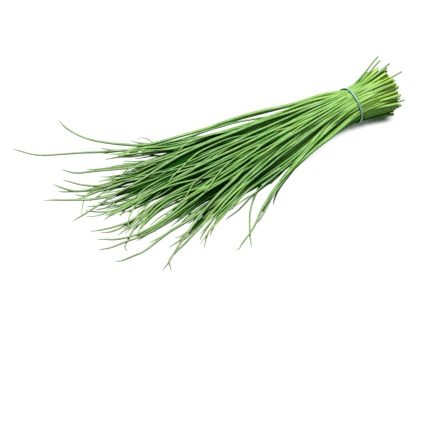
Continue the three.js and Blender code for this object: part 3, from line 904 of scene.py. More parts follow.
EXTRA_SEED = 4711
EXTRA_KINDS = (
    (38, (5, 190), 0.5, 70, (0.9, 1.2), None),
    (26, (0, 360), 0.1, 90, (0.65, 1.0), None),
    (36, (5, 190), 0.5, 70, (0.9, 1.2), (5, 50)),
)
SLOT_TRIES = 40
EXTRA_FAN = 0.95
EXTRA_SCATTER = 3
EXTRA_BOW = 14
LONG_LEAF = 30         # a leaf that is less than this shorter ends low
LOW_TIP = (1.5, 6)
HIGH_TIP = (4, 10)
RULE_SLIMMER = 0.9
EXTRA_ROUNDS = 60
EXTRA_STIFFNESS = 0.12
CUT_SEED = 31


def extra_leaf(slot, radius, tip, bow, read):
    """A leaf of the kind that draw_leaf makes, read from the photograph or not."""
    leaf = {
        "tip": tip,
        "bow": bow,
        "slot": slot,
        "radius": radius,
        "cut": (CUT_LENGTH, slot[0] * WAIST_RADIUS, WAIST_HEIGHT + slot[1] * WAIST_RADIUS),
        "stray": read,
        "own_cut": False,
    }
    lay_out(leaf)
    return leaf


def read_leaves():
    """The thin leaves that are read from the photograph."""
    leaves = []
    for number, (slot, radius, tip_height, pixels) in enumerate(EXTRA_PIXELS):
        points = extra_points(slot[1], radius, tip_height, pixels, number < ROUNDED)
        leaf = extra_leaf(slot, radius, points[-1], (0, 0), True)
        follow(leaf, points)
        leaves.append(leaf)
    return leaves


def free_slot(turns, inner, taken, rng):
    """A place in the waist as far as can be from those that are taken."""
    best, room = None, -1
    for _ in range(SLOT_TRIES):
        turn = math.radians(rng.uniform(*turns))
        reach = math.sqrt(rng.uniform(inner, 1.0))
        slot = (reach * math.cos(turn), reach * math.sin(turn))
        gap = min(math.hypot(slot[0] - t[0], slot[1] - t[1]) for t in taken)
        if gap > room:
            best, room = slot, gap
    taken.append(best)
    return best


def drawn_leaves(taken):
    """The others, in places of the waist that are not taken."""
    rng = np.random.default_rng(EXTRA_SEED)
    leaves = []
    for count, turns, inner, most_shorter, radii, even_shorter in EXTRA_KINDS:
        for _ in range(count):
            slot = free_slot(turns, inner, taken, rng)
            angle = FAN_MIDDLE + FAN_HALF * EXTRA_FAN * slot[0] + rng.normal(0, EXTRA_SCATTER)
            angle = float(np.clip(angle, FAN_LIMIT_NEAR, FAN_LIMIT_FAR - 2))
            shorter = rng.uniform(0, 1) ** 2 * most_shorter
            if even_shorter:
                shorter = rng.uniform(*even_shorter)
            reach = LEAF_REACH + REACH_SLOPE * angle - REACH_ROUND * angle**2 - shorter
            heading = math.radians(angle)
            bow = FAN_CURL * (angle - FAN_MIDDLE) + rng.uniform(-0.5, 0.5) * BOW_SCATTER
            height = rng.uniform(*(LOW_TIP if shorter < LONG_LEAF else HIGH_TIP))
            tip = (-reach * math.cos(heading), reach * math.sin(heading), height)
            bows = (bow, bow * BOW_CARRY + rng.uniform(-0.5, 0.5) * EXTRA_BOW)
            leaves.append(extra_leaf(slot, rng.uniform(*radii), tip, bows, False))
    return leaves


def arrange():
    """All the leaves, those that are read from the photograph first."""
    source = draw_leaves()
    for leaf in source:
        lay_out(leaf)
    settle(source)
    strays, ruled = source[:len(STRAY_LEAVES)], source[len(STRAY_LEAVES):]
    for leaf, pixels in zip(strays, LEAF_PIXELS):
        follow(leaf, stray_points(leaf, pixels))
    for leaf in ruled:
        leaf["radius"] *= RULE_SLIMMER
    read = strays + read_leaves()
    drawn = ruled + drawn_leaves([leaf["slot"] for leaf in read + ruled])
    leaves = read + drawn
    reorder(leaves)
    rng = np.random.default_rng(CUT_SEED)
    for leaf in leaves:
        straighten(leaf, rng)
    guides = [
        hermite(*way_of(leaf), np.arange(GUIDE_FROM, leaf["tip_end"], GUIDE_STEP))
        for leaf in read
    ]
    comb(drawn)
    for leaf in drawn:
        gather(leaf, guides)
    settle(leaves, len(read), EXTRA_ROUNDS, EXTRA_STIFFNESS, hold_sides)
    for leaf in drawn:
        trim(leaf, rng)
    return leaves, len(read)


# ------------------------------------------------------- the fine leaf shape

LEAF_SIDES = 14
LEAF_RINGS = 100
POINT_RINGS = 14
TIP_LENGTH = 10.0      # the last stretch, where a leaf comes to its point
TIP_POINT = 0.16       # radius of the point itself
TIP_FULL = 0.46        # radius just before it
TIP_ALONE = 0.62       # the same for a leaf that is seen by itself
TIP_MOST = 0.75        # the most that either is, as a share of the leaf's radius
CUT_NARROWER = 0.3     # how much narrower a leaf is at a cut end that stands out
SWELL = 0.03           # how much a leaf's radius comes and goes
FLATTEN = 0.12         # how far a leaf's section is from round
TWIST = 0.012          # the most that a section turns, in radians a millimetre
CUT_SKEW = 0.5         # how far a cut is from square, as a share of the radius
CUT_SKEW_LENGTH = 8
FLOOR_GAP = 0.02
WAVE_SIDE = 0.55       # amplitude of the small waves along a leaf
WAVE_UP = 0.3
WAVE_LENGTHS = (75, 41, 23)
WAVE_EASE = 90         # how far beyond the waist they are at their full size
CURL_LENGTH = (22, 60)
CURL_TURN = 22         # degrees, the most that a common tip curls
HOLLOW_DEPTH = 5.0     # how deep the cut ends are open
HOLLOW_SHARE = 0.66    # inner radius of a cut end, as a share of the outer
# the rings of the hollow: depth, share of the outer radius, place on the UV map
HOLLOW_RINGS = (
    (0.0, HOLLOW_SHARE, 0.95),
    (1.5, HOLLOW_SHARE - 0.04, 0.965),
    (HOLLOW_DEPTH, HOLLOW_SHARE - 0.16, 0.985),
)
UV_LEAF = 0.92         # the share of the UV map's width that a leaf's outside takes
UV_TIP = 0.925
UV_RIM = 0.935
UV_HOLLOW = 0.995
UV_MARGIN = 0.06       # the space beside each leaf's strip, as a share of its height
UV_STRIP = 0.88
WAIST_ALONG = 0.2      # where the waist is on the way from the cut end to the tip
NOISE_STEP = 37.0      # sets one leaf's texture apart from the next one's
PIECES = 10
LEAF_SEED = 9000
READ_TONE = 0.45       # how dark a leaf read from the photograph is, to the others


def add_waves(leaf, s, line, rng):
    """Small waves, none at the waist and more towards the tip."""
    grow = eased(np.abs(s), HELD, HELD + WAVE_EASE)
    heading = math.atan2(leaf["tip"][1], leaf["tip"][0])
    side = np.array([-math.sin(heading), math.cos(heading), 0])
    for axis, size in ((side, WAVE_SIDE), (np.array([0, 0, 1.0]), WAVE_UP)):
        wave = np.zeros(len(s))
        for length in WAVE_LENGTHS:
            phase = rng.uniform(0, 2 * math.pi)
            wave += rng.uniform(0.3, 1) * length / WAVE_LENGTHS[0] * np.sin(
                2 * math.pi * s / (length * rng.uniform(0.85, 1.2)) + phase
            )
        size *= 0.5 if leaf["stray"] else 1
        line = line + axis * (wave * size * grow)[:, None]
    return line


def curl_tip(leaf, s, line, rng):
    length = rng.uniform(*CURL_LENGTH)
    turn = rng.uniform(-1, 1) * CURL_TURN
    if leaf["stray"]:
        turn = 0
    steps = np.diff(line, axis=0)
    far = eased(s[1:], leaf["tip_end"] - length, leaf["tip_end"])
    angle = np.radians(turn) * far**1.3
    turned = steps.copy()
    turned[:, 0] = steps[:, 0] * np.cos(angle) - steps[:, 1] * np.sin(angle)
    turned[:, 1] = steps[:, 0] * np.sin(angle) + steps[:, 1] * np.cos(angle)
    return np.vstack([line[:1], line[0] + np.cumsum(turned, axis=0)])


def centre_line(leaf, rng):
    start, tip_end = leaf["places"][0], leaf["tip_end"]
    plain = np.linspace(start, tip_end - TIP_LENGTH, LEAF_RINGS - POINT_RINGS)
    short = (1 - np.linspace(0, 1, POINT_RINGS + 1)[1:]) ** 1.4
    s = np.concatenate([plain, tip_end - TIP_LENGTH * short])
    line = add_waves(leaf, s, hermite(*way_of(leaf), s), rng)
    return s, curl_tip(leaf, s, line, rng)


class Roof:
    """How high the pile reaches over each spot, smoothed over a few leaves: what lies below it gets
    painted shade.
    """

    CELL = 1.5
    LOW = np.array([-260.0, -105.0])
    CELLS = (230, 175)
    SPREAD = 2             # how many cells a leaf's top spreads sideways
    SMOOTHINGS = 2
    BESIDE = 6             # how far to each side an open flank lets in light,
    BESIDE_LOOSE = 11      # the same where the leaves lie loose,
    FLANK = (4, 8)         # and towards the near side at the cut end
    PILE_MIDDLE = 30       # where the tips are piled up, and how far to each side
    PILE_HALF = 15
    THIN_PILE = (2, 10)    # heights of a pile that is too thin to be dark inside

    def __init__(self, leaves):
        top = np.zeros(self.CELLS)
        for leaf in leaves:
            first = 0 if leaf["own_cut"] else leaf["places"][0]
            s = np.arange(first, leaf["tip_end"], 1.0)
            line = hermite(*way_of(leaf), s)
            radius = radius_at(leaf["radius"], leaf["tip_end"], s)
            spots = ((line[:, :2] - self.LOW) / self.CELL).astype(int)
            np.maximum.at(top, (spots[:, 0], spots[:, 1]), line[:, 2] + radius)
        wide = top.copy()
        shifts = range(-self.SPREAD, self.SPREAD + 1)
        for i in shifts:
            for j in shifts:
                if i * i + j * j <= self.SPREAD**2 + 1:
                    wide = np.maximum(wide, np.roll(top, (i, j), (0, 1)))
        for _ in range(self.SMOOTHINGS):
            for axis in (0, 1):
                wide = (np.roll(wide, 1, axis) + 2 * wide + np.roll(wide, -1, axis)) / 4
        self.top = wide

    def height(self, x, y):
        at = (np.stack([x, y], axis=-1) - self.LOW) / self.CELL - 0.5
        cell = np.floor(at).astype(int)
        i, j = cell[..., 0], cell[..., 1]
        u, v = np.moveaxis(at - cell, -1, 0)
        top = self.top
        return (
            top[i, j] * (1 - u) * (1 - v) + top[i + 1, j] * u * (1 - v)
            + top[i, j + 1] * (1 - u) * v + top[i + 1, j + 1] * u * v
        )

    def lower_side(self, x, y, away):
        """The pile's top this far to the near or far side, where it is lower."""
        return np.minimum(self.height(x, y - away), self.height(x, y + away))

    def depth(self, points):
        """How far points lie below the pile's top, less at its open sides: how much painted shade
        they get.
        """
        x, y, z = np.moveaxis(points, -1, 0)
        here = self.height(x, y)
        beside = np.minimum(here, self.lower_side(x, y, self.BESIDE))
        deep = 0.5 * np.maximum(here - z, 0) + 0.5 * np.maximum(beside - z, 0)
        # the flank of the cut end gets light from the near side
        near, nearer = (np.minimum(here, self.height(x, y - away)) for away in self.FLANK)
        flank = 0.6 * near + 0.4 * nearer - z
        cut = eased(x, 2, 6)
        deep = deep * (1 - cut) + np.maximum(flank, 0) * cut
        # more towards the tips, and most where they are piled up
        off_middle = np.abs(y - self.PILE_MIDDLE) / self.PILE_HALF
        piled = 0.25 + 0.9 * np.clip(1.8 - off_middle, 0, 1.1)
        deep *= 0.75 + 0.25 * eased(-x, 50, 100) + piled * eased(-x, 100, 160, 1.5)
        # and little where they lie loose on the surface
        loose = eased(-x, 50, 110)
        wide = self.lower_side(x, y, self.BESIDE_LOOSE)
        cover = here * (1 - loose) + np.minimum(beside, wide) * loose
        return deep * np.maximum(eased(cover, *self.THIN_PILE), 0.1)


def frames(line):
    """Directions along the line, to its side and upwards, at each point."""
    way = np.gradient(line, axis=0)
    way /= np.linalg.norm(way, axis=1, keepdims=True)
    side = np.cross([0, 0, 1.0], way)
    side /= np.linalg.norm(side, axis=1, keepdims=True)
    return way, side, np.cross(way, side)


class PieceMesh:
    """Collects tubes, with their coordinates, tones and painted shade, into one mesh."""

    def __init__(self, strips):
        self.points, self.faces, self.uvs = [], [], []
        self.place, self.tone, self.inside, self.crisp, self.depth = [], [], [], [], []
        self.strips, self.strip, self.count = strips, 0, 0

    def ring(self, points, place, tone, inside=0.0, crisp=0, depth=0.0):
        first = self.count
        self.points.append(points)
        self.place.append(place)
        self.tone.append(np.broadcast_to(tone, (len(points), 3)))
        self.inside.append(np.full(len(points), 1.0) * inside)
        self.crisp.append(np.full(len(points), crisp))
        self.depth.append(np.full(len(points), 1.0) * depth)
        self.count += len(points)
        return first

    def sides(self, count):
        """Each side of a ring: its two corners, and their places on the UV map."""
        low = (self.strip + UV_MARGIN) / self.strips
        tall = UV_STRIP / self.strips
        for k in range(count):
            yield k, (k + 1) % count, low + tall * k / count, low + tall * (k + 1) / count

    def join(self, one, two, sides, u_one, u_two):
        for k, after, v0, v1 in self.sides(sides):
            self.faces.append((one + k, one + after, two + after, two + k))
            self.uvs += [(u_one, v0), (u_one, v1), (u_two, v1), (u_two, v0)]

    def close(self, one, tip, sides, u_one, u_tip):
        for k, after, v0, v1 in self.sides(sides):
            self.faces.append((one + k, one + after, tip))
            self.uvs += [(u_one, v0), (u_one, v1), (u_tip, (v0 + v1) / 2)]

    def build(self, name):
        points = (np.vstack(self.points) - (FOOTPRINT_X, FOOTPRINT_Y, 0)) / 1000
        mesh = bpy.data.meshes.new(name)
        mesh.from_pydata(points.tolist(), [], self.faces)
        mesh.update()
        uv = mesh.uv_layers.new(name="OFBake")
        uv.data.foreach_set("uv", np.array(self.uvs, np.float32).ravel())
        for label, kind, field, values in (
            ("leaf_place", "FLOAT_VECTOR", "vector", np.vstack(self.place)),
            ("leaf_tone", "FLOAT_VECTOR", "vector", np.vstack(self.tone)),
            ("leaf_inside", "FLOAT", "value", np.concatenate(self.inside)),
            ("leaf_depth", "FLOAT", "value", np.concatenate(self.depth)),
        ):
            layer = mesh.attributes.new(label, kind, "POINT")
            layer.data.foreach_set(field, values.astype(np.float32).ravel())
        # an edge is sharp where both of its ends have the same crisp number
        crisp = np.concatenate(self.crisp)
        ends = np.empty(len(mesh.edges) * 2, np.int32)
        mesh.edges.foreach_get("vertices", ends)
        ends = crisp[ends.reshape(-1, 2)]
        sharp = (ends[:, 0] > 0) & (ends[:, 0] == ends[:, 1])
        layer = mesh.attributes.new("sharp_edge", "BOOLEAN", "EDGE")
        layer.data.foreach_set("value", sharp)
        mesh.polygons.foreach_set("use_smooth", np.ones(len(mesh.polygons), bool))
        mesh.validate()
        return link(name, mesh)


def link(name, data):
    obj = bpy.data.objects.new(name, data)
    bpy.context.collection.objects.link(obj)
    return obj


def fuller(radius, tip_end, s, full):
    """As radius_at, but with less taper before the last stretch."""
    part = np.clip(s / tip_end, 0, 1)
    least = min(full, TIP_MOST * radius)
    return least + (radius - least) * (1 - part**1.9) ** 0.8


def leaf_radius(leaf, s, alone, rng):
    """The radius along a leaf, down to its point."""
    tip_end = leaf["tip_end"]
    radius = fuller(leaf["radius"], tip_end, s, TIP_ALONE if alone else TIP_FULL)
    if leaf["own_cut"]:
        radius *= 1 - CUT_NARROWER * np.clip(s / s[0], 0, 1) ** 0.7
    last = np.clip((tip_end - s) / TIP_LENGTH, 0, 1)
    radius = TIP_POINT + (radius - TIP_POINT) * last**0.45
    return radius * (1 + SWELL * np.sin(s / rng.uniform(9, 17) + rng.uniform(0, 6)))


def leaf_rings(line, s, radius, theta, rng):
    """The leaf's sections, a little flatter than round and turning slowly."""
    flat = FLATTEN * rng.uniform(0.3, 1.0)
    turn = rng.uniform(0, math.pi) + s * rng.uniform(-TWIST, TWIST)
    way, side, up = frames(line)
    line[:, 2] = np.maximum(line[:, 2], radius * (1 + flat * 0.3))
    wide = radius[:, None] * (1 + flat * np.cos(2 * (theta[None] - turn[:, None])))
    rings = (
        line[:, None]
        + side[:, None] * (wide * np.cos(theta))[..., None]
        + up[:, None] * (wide * np.sin(theta))[..., None]
    )
    rings[..., 2] = np.maximum(rings[..., 2], FLOOR_GAP)

    # the cut is not quite square to the leaf
    tilt = rng.uniform(-CUT_SKEW, CUT_SKEW, 2)
    lean = tilt[0] * np.cos(theta) + tilt[1] * np.sin(theta)
    ease = np.clip(1 - (s - s[0]) / CUT_SKEW_LENGTH, 0, 1)
    rings -= way[:, None] * (lean[None] * radius[:, None] * ease[:, None])[..., None]
    return rings, way


def leaf_tones(leaf, s, by_hand, alone, rng):
    """How far along the leaf each ring is, the leaf's own tone with painted shade for leaves low in
    the waist, and its dryness.
    """
    # a leaf low in the waist is darker: painted shade added to its random tone
    low = 0.5 - 0.5 * leaf["slot"][1]
    tone_and_shade = 0.75 * rng.uniform(0, 1) ** 1.3 + 0.3 * low + rng.normal(0, 0.05)
    tone_and_shade = min(max(tone_and_shade, 0), 1)
    if by_hand:
        tone_and_shade *= READ_TONE
    dry = rng.uniform(0.5, 1) if alone else rng.uniform(0, 1) ** 3 - 0.5
    outwards = WAIST_ALONG + (1 - WAIST_ALONG) * s / leaf["tip_end"]
    along = np.where(s < 0, WAIST_ALONG * (1 - s / s[0]), outwards)
    if leaf["own_cut"]:
        along = np.where(s < 0, np.minimum(WAIST_ALONG + 1.1 * s / s[0], 1), along)
    return along, tone_and_shade, dry


def add_leaf(piece, leaf, number):
    rng = np.random.default_rng(LEAF_SEED + number)
    alone = number < len(STRAY_LEAVES)
    theta = 2 * math.pi * np.arange(LEAF_SIDES) / LEAF_SIDES
    s, line = centre_line(leaf, rng)
    radius = leaf_radius(leaf, s, alone, rng)
    rings, way = leaf_rings(line, s, radius, theta, rng)
    along, tone_and_shade, dry = leaf_tones(leaf, s, number < read_count, alone, rng)
    start, tip_end = s[0], leaf["tip_end"]
    offset = number * NOISE_STEP

    def place(at):
        return np.stack(
            [np.cos(theta), np.sin(theta), np.full(LEAF_SIDES, at + offset)], axis=1
        )

    spread = UV_LEAF * (s - start) / (tip_end - start)
    # how far each point lies below the pile's top, for the painted shade
    depth = roof.depth(rings)
    first = before = piece.ring(rings[0], place(start), (along[0], tone_and_shade, dry), crisp=1,
                                depth=depth[0])
    for k in range(1, len(s)):
        ring = piece.ring(rings[k], place(s[k]), (along[k], tone_and_shade, dry), depth=depth[k])
        piece.join(ring, before, LEAF_SIDES, spread[k], spread[k - 1])
        before = ring
    tip = piece.ring(
        line[-1:] + way[-1:] * TIP_POINT,
        np.array([[0, 0, tip_end + offset]]),
        (1, tone_and_shade, dry),
    )
    piece.close(before, tip, LEAF_SIDES, UV_LEAF, UV_TIP)

    # the open cut end: a rim, a wall that goes in, and a floor in the dark
    inner, u_before = first, UV_RIM
    middle = rings[0].mean(axis=0)
    for deep, share, u in HOLLOW_RINGS:
        shell = middle + (rings[0] - middle) * share + way[0] * deep
        ring = piece.ring(shell, place(start + deep), (0.0, tone_and_shade, dry), inside=1.0,
                          crisp=2 if deep == 0 else 0)
        piece.join(inner, ring, LEAF_SIDES, u_before, u)
        inner, u_before = ring, u
    floor = piece.ring(
        (middle + way[0] * (HOLLOW_DEPTH + 0.5))[None],
        np.array([[0, 0, start + offset]]), (0.0, tone_and_shade, dry), inside=1.0,
    )
    piece.close(inner, floor, LEAF_SIDES, u_before, UV_HOLLOW)
    piece.strip += 1


# ------------------------------------------------------------- the materials

WHITE = (1, 1, 1)
# colours on the way from the pale cut to the dry tip, bright green at the waist
LEAF_COLOURS = (
    (0.0, (0.27, 0.42, 0.035)),
    (0.10, (0.20, 0.35, 0.03)),
    (0.24, (0.14, 0.285, 0.034)),
    (0.5, (0.078, 0.21, 0.024)),
    (0.76, (0.06, 0.18, 0.024)),
    (0.9, (0.115, 0.265, 0.042)),
    (1.0, (0.17, 0.31, 0.065)),
)
# a darker tone, which is also the painted shade of leaves low in the waist
DARK_LEAF_AND_SHADE = (0.008, 0.10, 0.002)
YELLOW_LEAF = (0.22, 0.36, 0.035)
BLOOM = (0.10, 0.23, 0.07)
STREAK = (0.33, 0.48, 0.19)
SPECK = (0.02, 0.12, 0.008)
DRY_TIP = (0.125, 0.145, 0.08)
UNDERSIDE_SHADE = (0.005, 0.09, 0.001)
HIGHLIGHT_COLOUR = (0.36, 0.50, 0.29)
GAP_SHADE = (0.0005, 0.075, 0.0003)
GAP_SHADE_AT_TIPS = (0.001, 0.042, 0.0008)
HOLLOW_PALE = (0.30, 0.38, 0.10)
HOLLOW_DARK = (0.20, 0.30, 0.06)
LEAF_SPECULAR = 0.08
BAND_DARK = (0.13, 0.27, 0.215)
BAND_LIGHT = (0.17, 0.33, 0.26)
BAND_DUST = (0.23, 0.40, 0.32)
BAND_EDGE_SHADE = (0.008, 0.07, 0.05)


class Nodes:
    """Short names for making and joining shader nodes."""

    def __init__(self, name):
        self.material = bpy.data.materials.new(name)
        self.material.use_nodes = True
        self.tree = self.material.node_tree
        self.tree.nodes.clear()

    def add(self, kind, values=None, **settings):
        node = self.tree.nodes.new(kind)
        for key, value in settings.items():
            setattr(node, key, value)
        for key, value in (values or {}).items():
            socket = node.inputs[key]
            if isinstance(value, bpy.types.NodeSocket):
                self.tree.links.new(value, socket)
            elif socket.type == "RGBA" and len(value) == 3:
                socket.default_value = tuple(value) + (1,)
            else:
                socket.default_value = value
        return node

    def attribute(self, name, output):
        return self.add("ShaderNodeAttribute", attribute_name=name).outputs[output]

    def parts(self, vector):
        return self.add("ShaderNodeSeparateXYZ", {0: vector}).outputs

    def maths(self, operation, one, two, clamp=False):
        return self.add(
            "ShaderNodeMath", {0: one, 1: two}, operation=operation, use_clamp=clamp
        ).outputs[0]

    def noise(self, vector, stretch, scale, detail=3.0, roughness=0.55):
        stretched = self.add("ShaderNodeVectorMath", {0: vector, 1: stretch}, operation="MULTIPLY")
        return self.add("ShaderNodeTexNoise", {
            "Vector": stretched.outputs[0], "Scale": scale, "Detail": detail,
            "Roughness": roughness,
        }).outputs["Fac"]

    def ramp(self, value, stops):
        node = self.add("ShaderNodeValToRGB", {"Fac": value})
        elements = node.color_ramp.elements
        while len(elements) < len(stops):
            elements.new(0.5)
        for element, (at, colour) in zip(elements, stops):
            element.position = at
            element.color = colour + (1,)
        return node.outputs["Color"]

    def mix(self, part, one, two):
        return self.add("ShaderNodeMix", {0: part, 6: one, 7: two}, data_type="RGBA").outputs[2]

    def range(self, value, low, high, to_low, to_high, **settings):
        return self.add(
            "ShaderNodeMapRange",
            {"Value": value, "From Min": low, "From Max": high,
             "To Min": to_low, "To Max": to_high},
            **settings,
        ).outputs["Result"]

    def bump(self, height, strength, distance):
        return self.add("ShaderNodeBump", {
            "Height": height, "Strength": strength, "Distance": distance,
        }).outputs[0]

    def finish(self, sockets):
        shader = self.add("ShaderNodeBsdfPrincipled", sockets)
        self.add("ShaderNodeOutputMaterial", {"Surface": shader.outputs[0]})
        return shader


def leaf_body(n, place, along, tone_and_shade, dry, streaks, specks):
    """The colour of a leaf's skin, with the painted shade of leaves low in the waist; the other
    painted light and shade come later.
    """
    patches = n.noise(place, (0.5, 0.5, 0.06), 1.0)
    reach = n.maths("ADD", along, n.range(patches, 0.3, 0.7, -0.05, 0.05), clamp=True)
    body = n.ramp(reach, LEAF_COLOURS)
    darker = n.maths("MULTIPLY", tone_and_shade, n.range(along, 0.78, 0.95, 0.8, 0.5))
    body = n.mix(darker, body, DARK_LEAF_AND_SHADE)
    stretches = n.noise(place, (0, 0, 0.004), 7.0, 0.0)
    body = n.mix(n.range(stretches, 0.52, 0.68, 0, 0.4), body, YELLOW_LEAF)
    bloom = n.maths("MULTIPLY", n.range(patches, 0.4, 0.75, 0, 1),
                    n.range(tone_and_shade, 0.3, 1.0, 0.0, 0.4), clamp=True)
    body = n.mix(bloom, body, BLOOM)
    body = n.mix(n.range(streaks, 0.5, 0.66, 0.0, 0.28), body, STREAK)
    body = n.mix(n.range(specks, 0.45, 0.75, 0.0, 0.25), body, SPECK)
    ageing = n.maths("ADD", reach, n.maths("MULTIPLY", dry, 0.32))
    return n.mix(n.range(ageing, 0.84, 1.24, 0.0, 0.8), body, DRY_TIP)


def leaf_material():
    n = Nodes("chive_leaf_skin")
    place = n.attribute("leaf_place", "Vector")
    inside = n.attribute("leaf_inside", "Fac")
    depth = n.attribute("leaf_depth", "Fac")
    along, tone_and_shade, dry = n.parts(n.attribute("leaf_tone", "Vector"))
    across, up = n.parts(place)[:2]
    streaks = n.noise(place, (2.6, 2.6, 0.035), 1.6, 4.0, 0.6)
    specks = n.noise(place, (3.0, 3.0, 0.8), 2.0, 2.0)
    body = leaf_body(n, place, along, tone_and_shade, dry, streaks, specks)

    # painted shade on the sides and underneath, with a broken painted highlight along the top
    shaded = n.maths("MAXIMUM", n.range(along, 0.5, 0.9, 0.8, 0.1),
                     n.range(depth, 0.6, 2.6, 0.0, 0.75))
    underside_shade = n.maths("MULTIPLY", n.range(up, 0.82, -0.25, 0.0, 1.0), shaded)
    body = n.mix(underside_shade, body, UNDERSIDE_SHADE)
    # the painted highlight: pale on the side that faces up and a little across, broken along the
    # leaf
    highlight_side = n.maths("ADD", n.maths("MULTIPLY", up, 0.93), n.maths("MULTIPLY", across, 0.36))
    broken = n.noise(place, (0, 0, 0.03), 2.0)
    highlight = n.maths("MULTIPLY", n.range(highlight_side, 0.89, 0.985, 0, 1),
                    n.range(broken, 0.38, 0.62, 0.05, 0.7), clamp=True)
    body = n.mix(highlight, body, HIGHLIGHT_COLOUR)

    # painted shade in the gaps between leaves, darker the further a point lies below the pile's
    # top, and pale in the hollow of the cut end
    deep = n.range(depth, 1.0, 5.8, 0.0, 0.97, interpolation_type="SMOOTHSTEP")
    deep = n.maths("MULTIPLY", deep, n.range(along, 0.8, 1.0, 1.0, 0.75))
    gap = n.mix(n.range(along, 0.45, 0.7, 0.0, 1.0), GAP_SHADE, GAP_SHADE_AT_TIPS)
    body = n.mix(deep, body, gap)
    hollow = n.mix(n.range(streaks, 0.3, 0.7, 0, 1), HOLLOW_PALE, HOLLOW_DARK)

    ribs = n.maths("ADD", streaks, n.maths("MULTIPLY", specks, 0.3))
    shader = n.finish({
        "Base Color": n.mix(inside, body, hollow),
        "Roughness": n.range(streaks, 0.3, 0.7, 0.30, 0.46),
        "Normal": n.bump(ribs, 0.35, 0.00012),
        "Specular IOR Level": n.range(deep, 0.0, 0.6, LEAF_SPECULAR, 0.0),
        "Subsurface Weight": 0.1,
        "Subsurface Radius": (0.6, 1.0, 0.25),
        "Subsurface Scale": 0.0012,
    })
    # the export drops the link and keeps this value
    shader.inputs["Specular IOR Level"].default_value = LEAF_SPECULAR
    return n.material


def band_material():
    n = Nodes("band_rubber")
    place = n.attribute("leaf_place", "Vector")
    edge = n.attribute("leaf_inside", "Fac")
    cloudy = n.noise(place, (0.5, 0.5, 0.5), 0.6)
    fine = n.noise(place, (4, 4, 4), 1.6)
    colour = n.mix(n.range(cloudy, 0.35, 0.65, 0, 1), BAND_DARK, BAND_LIGHT)
    colour = n.mix(n.range(fine, 0.5, 0.8, 0, 0.3), colour, BAND_DUST)
    # painted shade: dark along the band's two sides and its inner face
    colour = n.mix(n.range(edge, 0.3, 0.58, 0, 1), colour, BAND_EDGE_SHADE)
    n.finish({
        "Base Color": colour,
        "Roughness": n.range(fine, 0.3, 0.7, 0.32, 0.5),
        "Normal": n.bump(fine, 0.3, 0.0001),
        "Subsurface Weight": 0.1,
        "Subsurface Radius": (0.4, 0.8, 0.7),
        "Subsurface Scale": 0.001,
    })
    return n.material


def dress(obj, material, node):
    """Puts a piece in the place of a node of the source."""
    obj.data.materials.append(material)
    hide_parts(node)
    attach(obj, "root")


# ------------------------------------------------------------- the leaves

leaves, read_count = arrange()
roof = Roof(leaves)
skin = leaf_material()
order = sorted(range(len(leaves)), key=lambda i: leaves[i]["slot"][1])
for k in range(PIECES):
    members = order[k * len(order) // PIECES:(k + 1) * len(order) // PIECES]
    piece = PieceMesh(len(members))
    for i in members:
        add_leaf(piece, leaves[i], i)
    dress(piece.build(f"chive_leaves_{k + 1:02d}"), skin, "chive_leaves")

# ------------------------------------------------------------- the band

BAND_AROUND = 180
BAND_SECTION = 16
BAND_CORNER = 0.75     # the section's corners, from round at 1 to square at 0
BAND_GAP = 0.02
BAND_LEAN = 2.2        # how far its upper near side leans towards the tips
BAND_LEAN_AT = 125     # degrees round from the far side
BAND_SWAY = 0.11
BAND_SMOOTHINGS = 3
BAND_SEED = 77
LEAF_CORNERS = 24      # points round each leaf that the band may touch


def hull_of(spots):
    """The tightest closed line round the spots, in order."""
    spots = spots[np.lexsort((spots[:, 1], spots[:, 0]))]

    def half(points):
        chain = []
        for p in points:
            while len(chain) > 1:
                a, b = chain[-1] - chain[-2], p - chain[-1]
                if a[0] * b[1] - a[1] * b[0] > 0:
                    break
                chain.pop()
            chain.append(p)
        return chain[:-1]

    return np.array(half(spots) + half(spots[::-1]))


def band_reach():
    """The distance from the waist's middle to a band drawn tight round the leaves."""
    turn = np.linspace(0, 2 * math.pi, LEAF_CORNERS + 1)[:-1]
    circle = np.stack([np.cos(turn), np.sin(turn)], axis=1)
    p = hull_of(np.vstack([
        np.array(leaf["slot"]) * WAIST_RADIUS + circle * leaf["radius"] for leaf in leaves
    ]))
    edge = np.roll(p, -1, axis=0) - p
    reach = []
    for k in range(BAND_AROUND):
        a = 2 * math.pi * k / BAND_AROUND
        ray = np.array([math.cos(a), math.sin(a)])
        cross = ray[0] * edge[:, 1] - ray[1] * edge[:, 0]
        with np.errstate(divide="ignore", invalid="ignore"):
            far = (p[:, 0] * edge[:, 1] - p[:, 1] * edge[:, 0]) / cross
            at = (p[:, 0] * ray[1] - p[:, 1] * ray[0]) / cross
        good = (far > 0) & (at >= -1e-9) & (at <= 1 + 1e-9)
        reach.append(far[good].max())
    reach = np.array(reach)
    for _ in range(BAND_SMOOTHINGS):
        reach = (np.roll(reach, 1) + 2 * reach + np.roll(reach, -1)) / 4
    return reach


def soft_square(part):
    return np.sign(part) * np.abs(part) ** BAND_CORNER


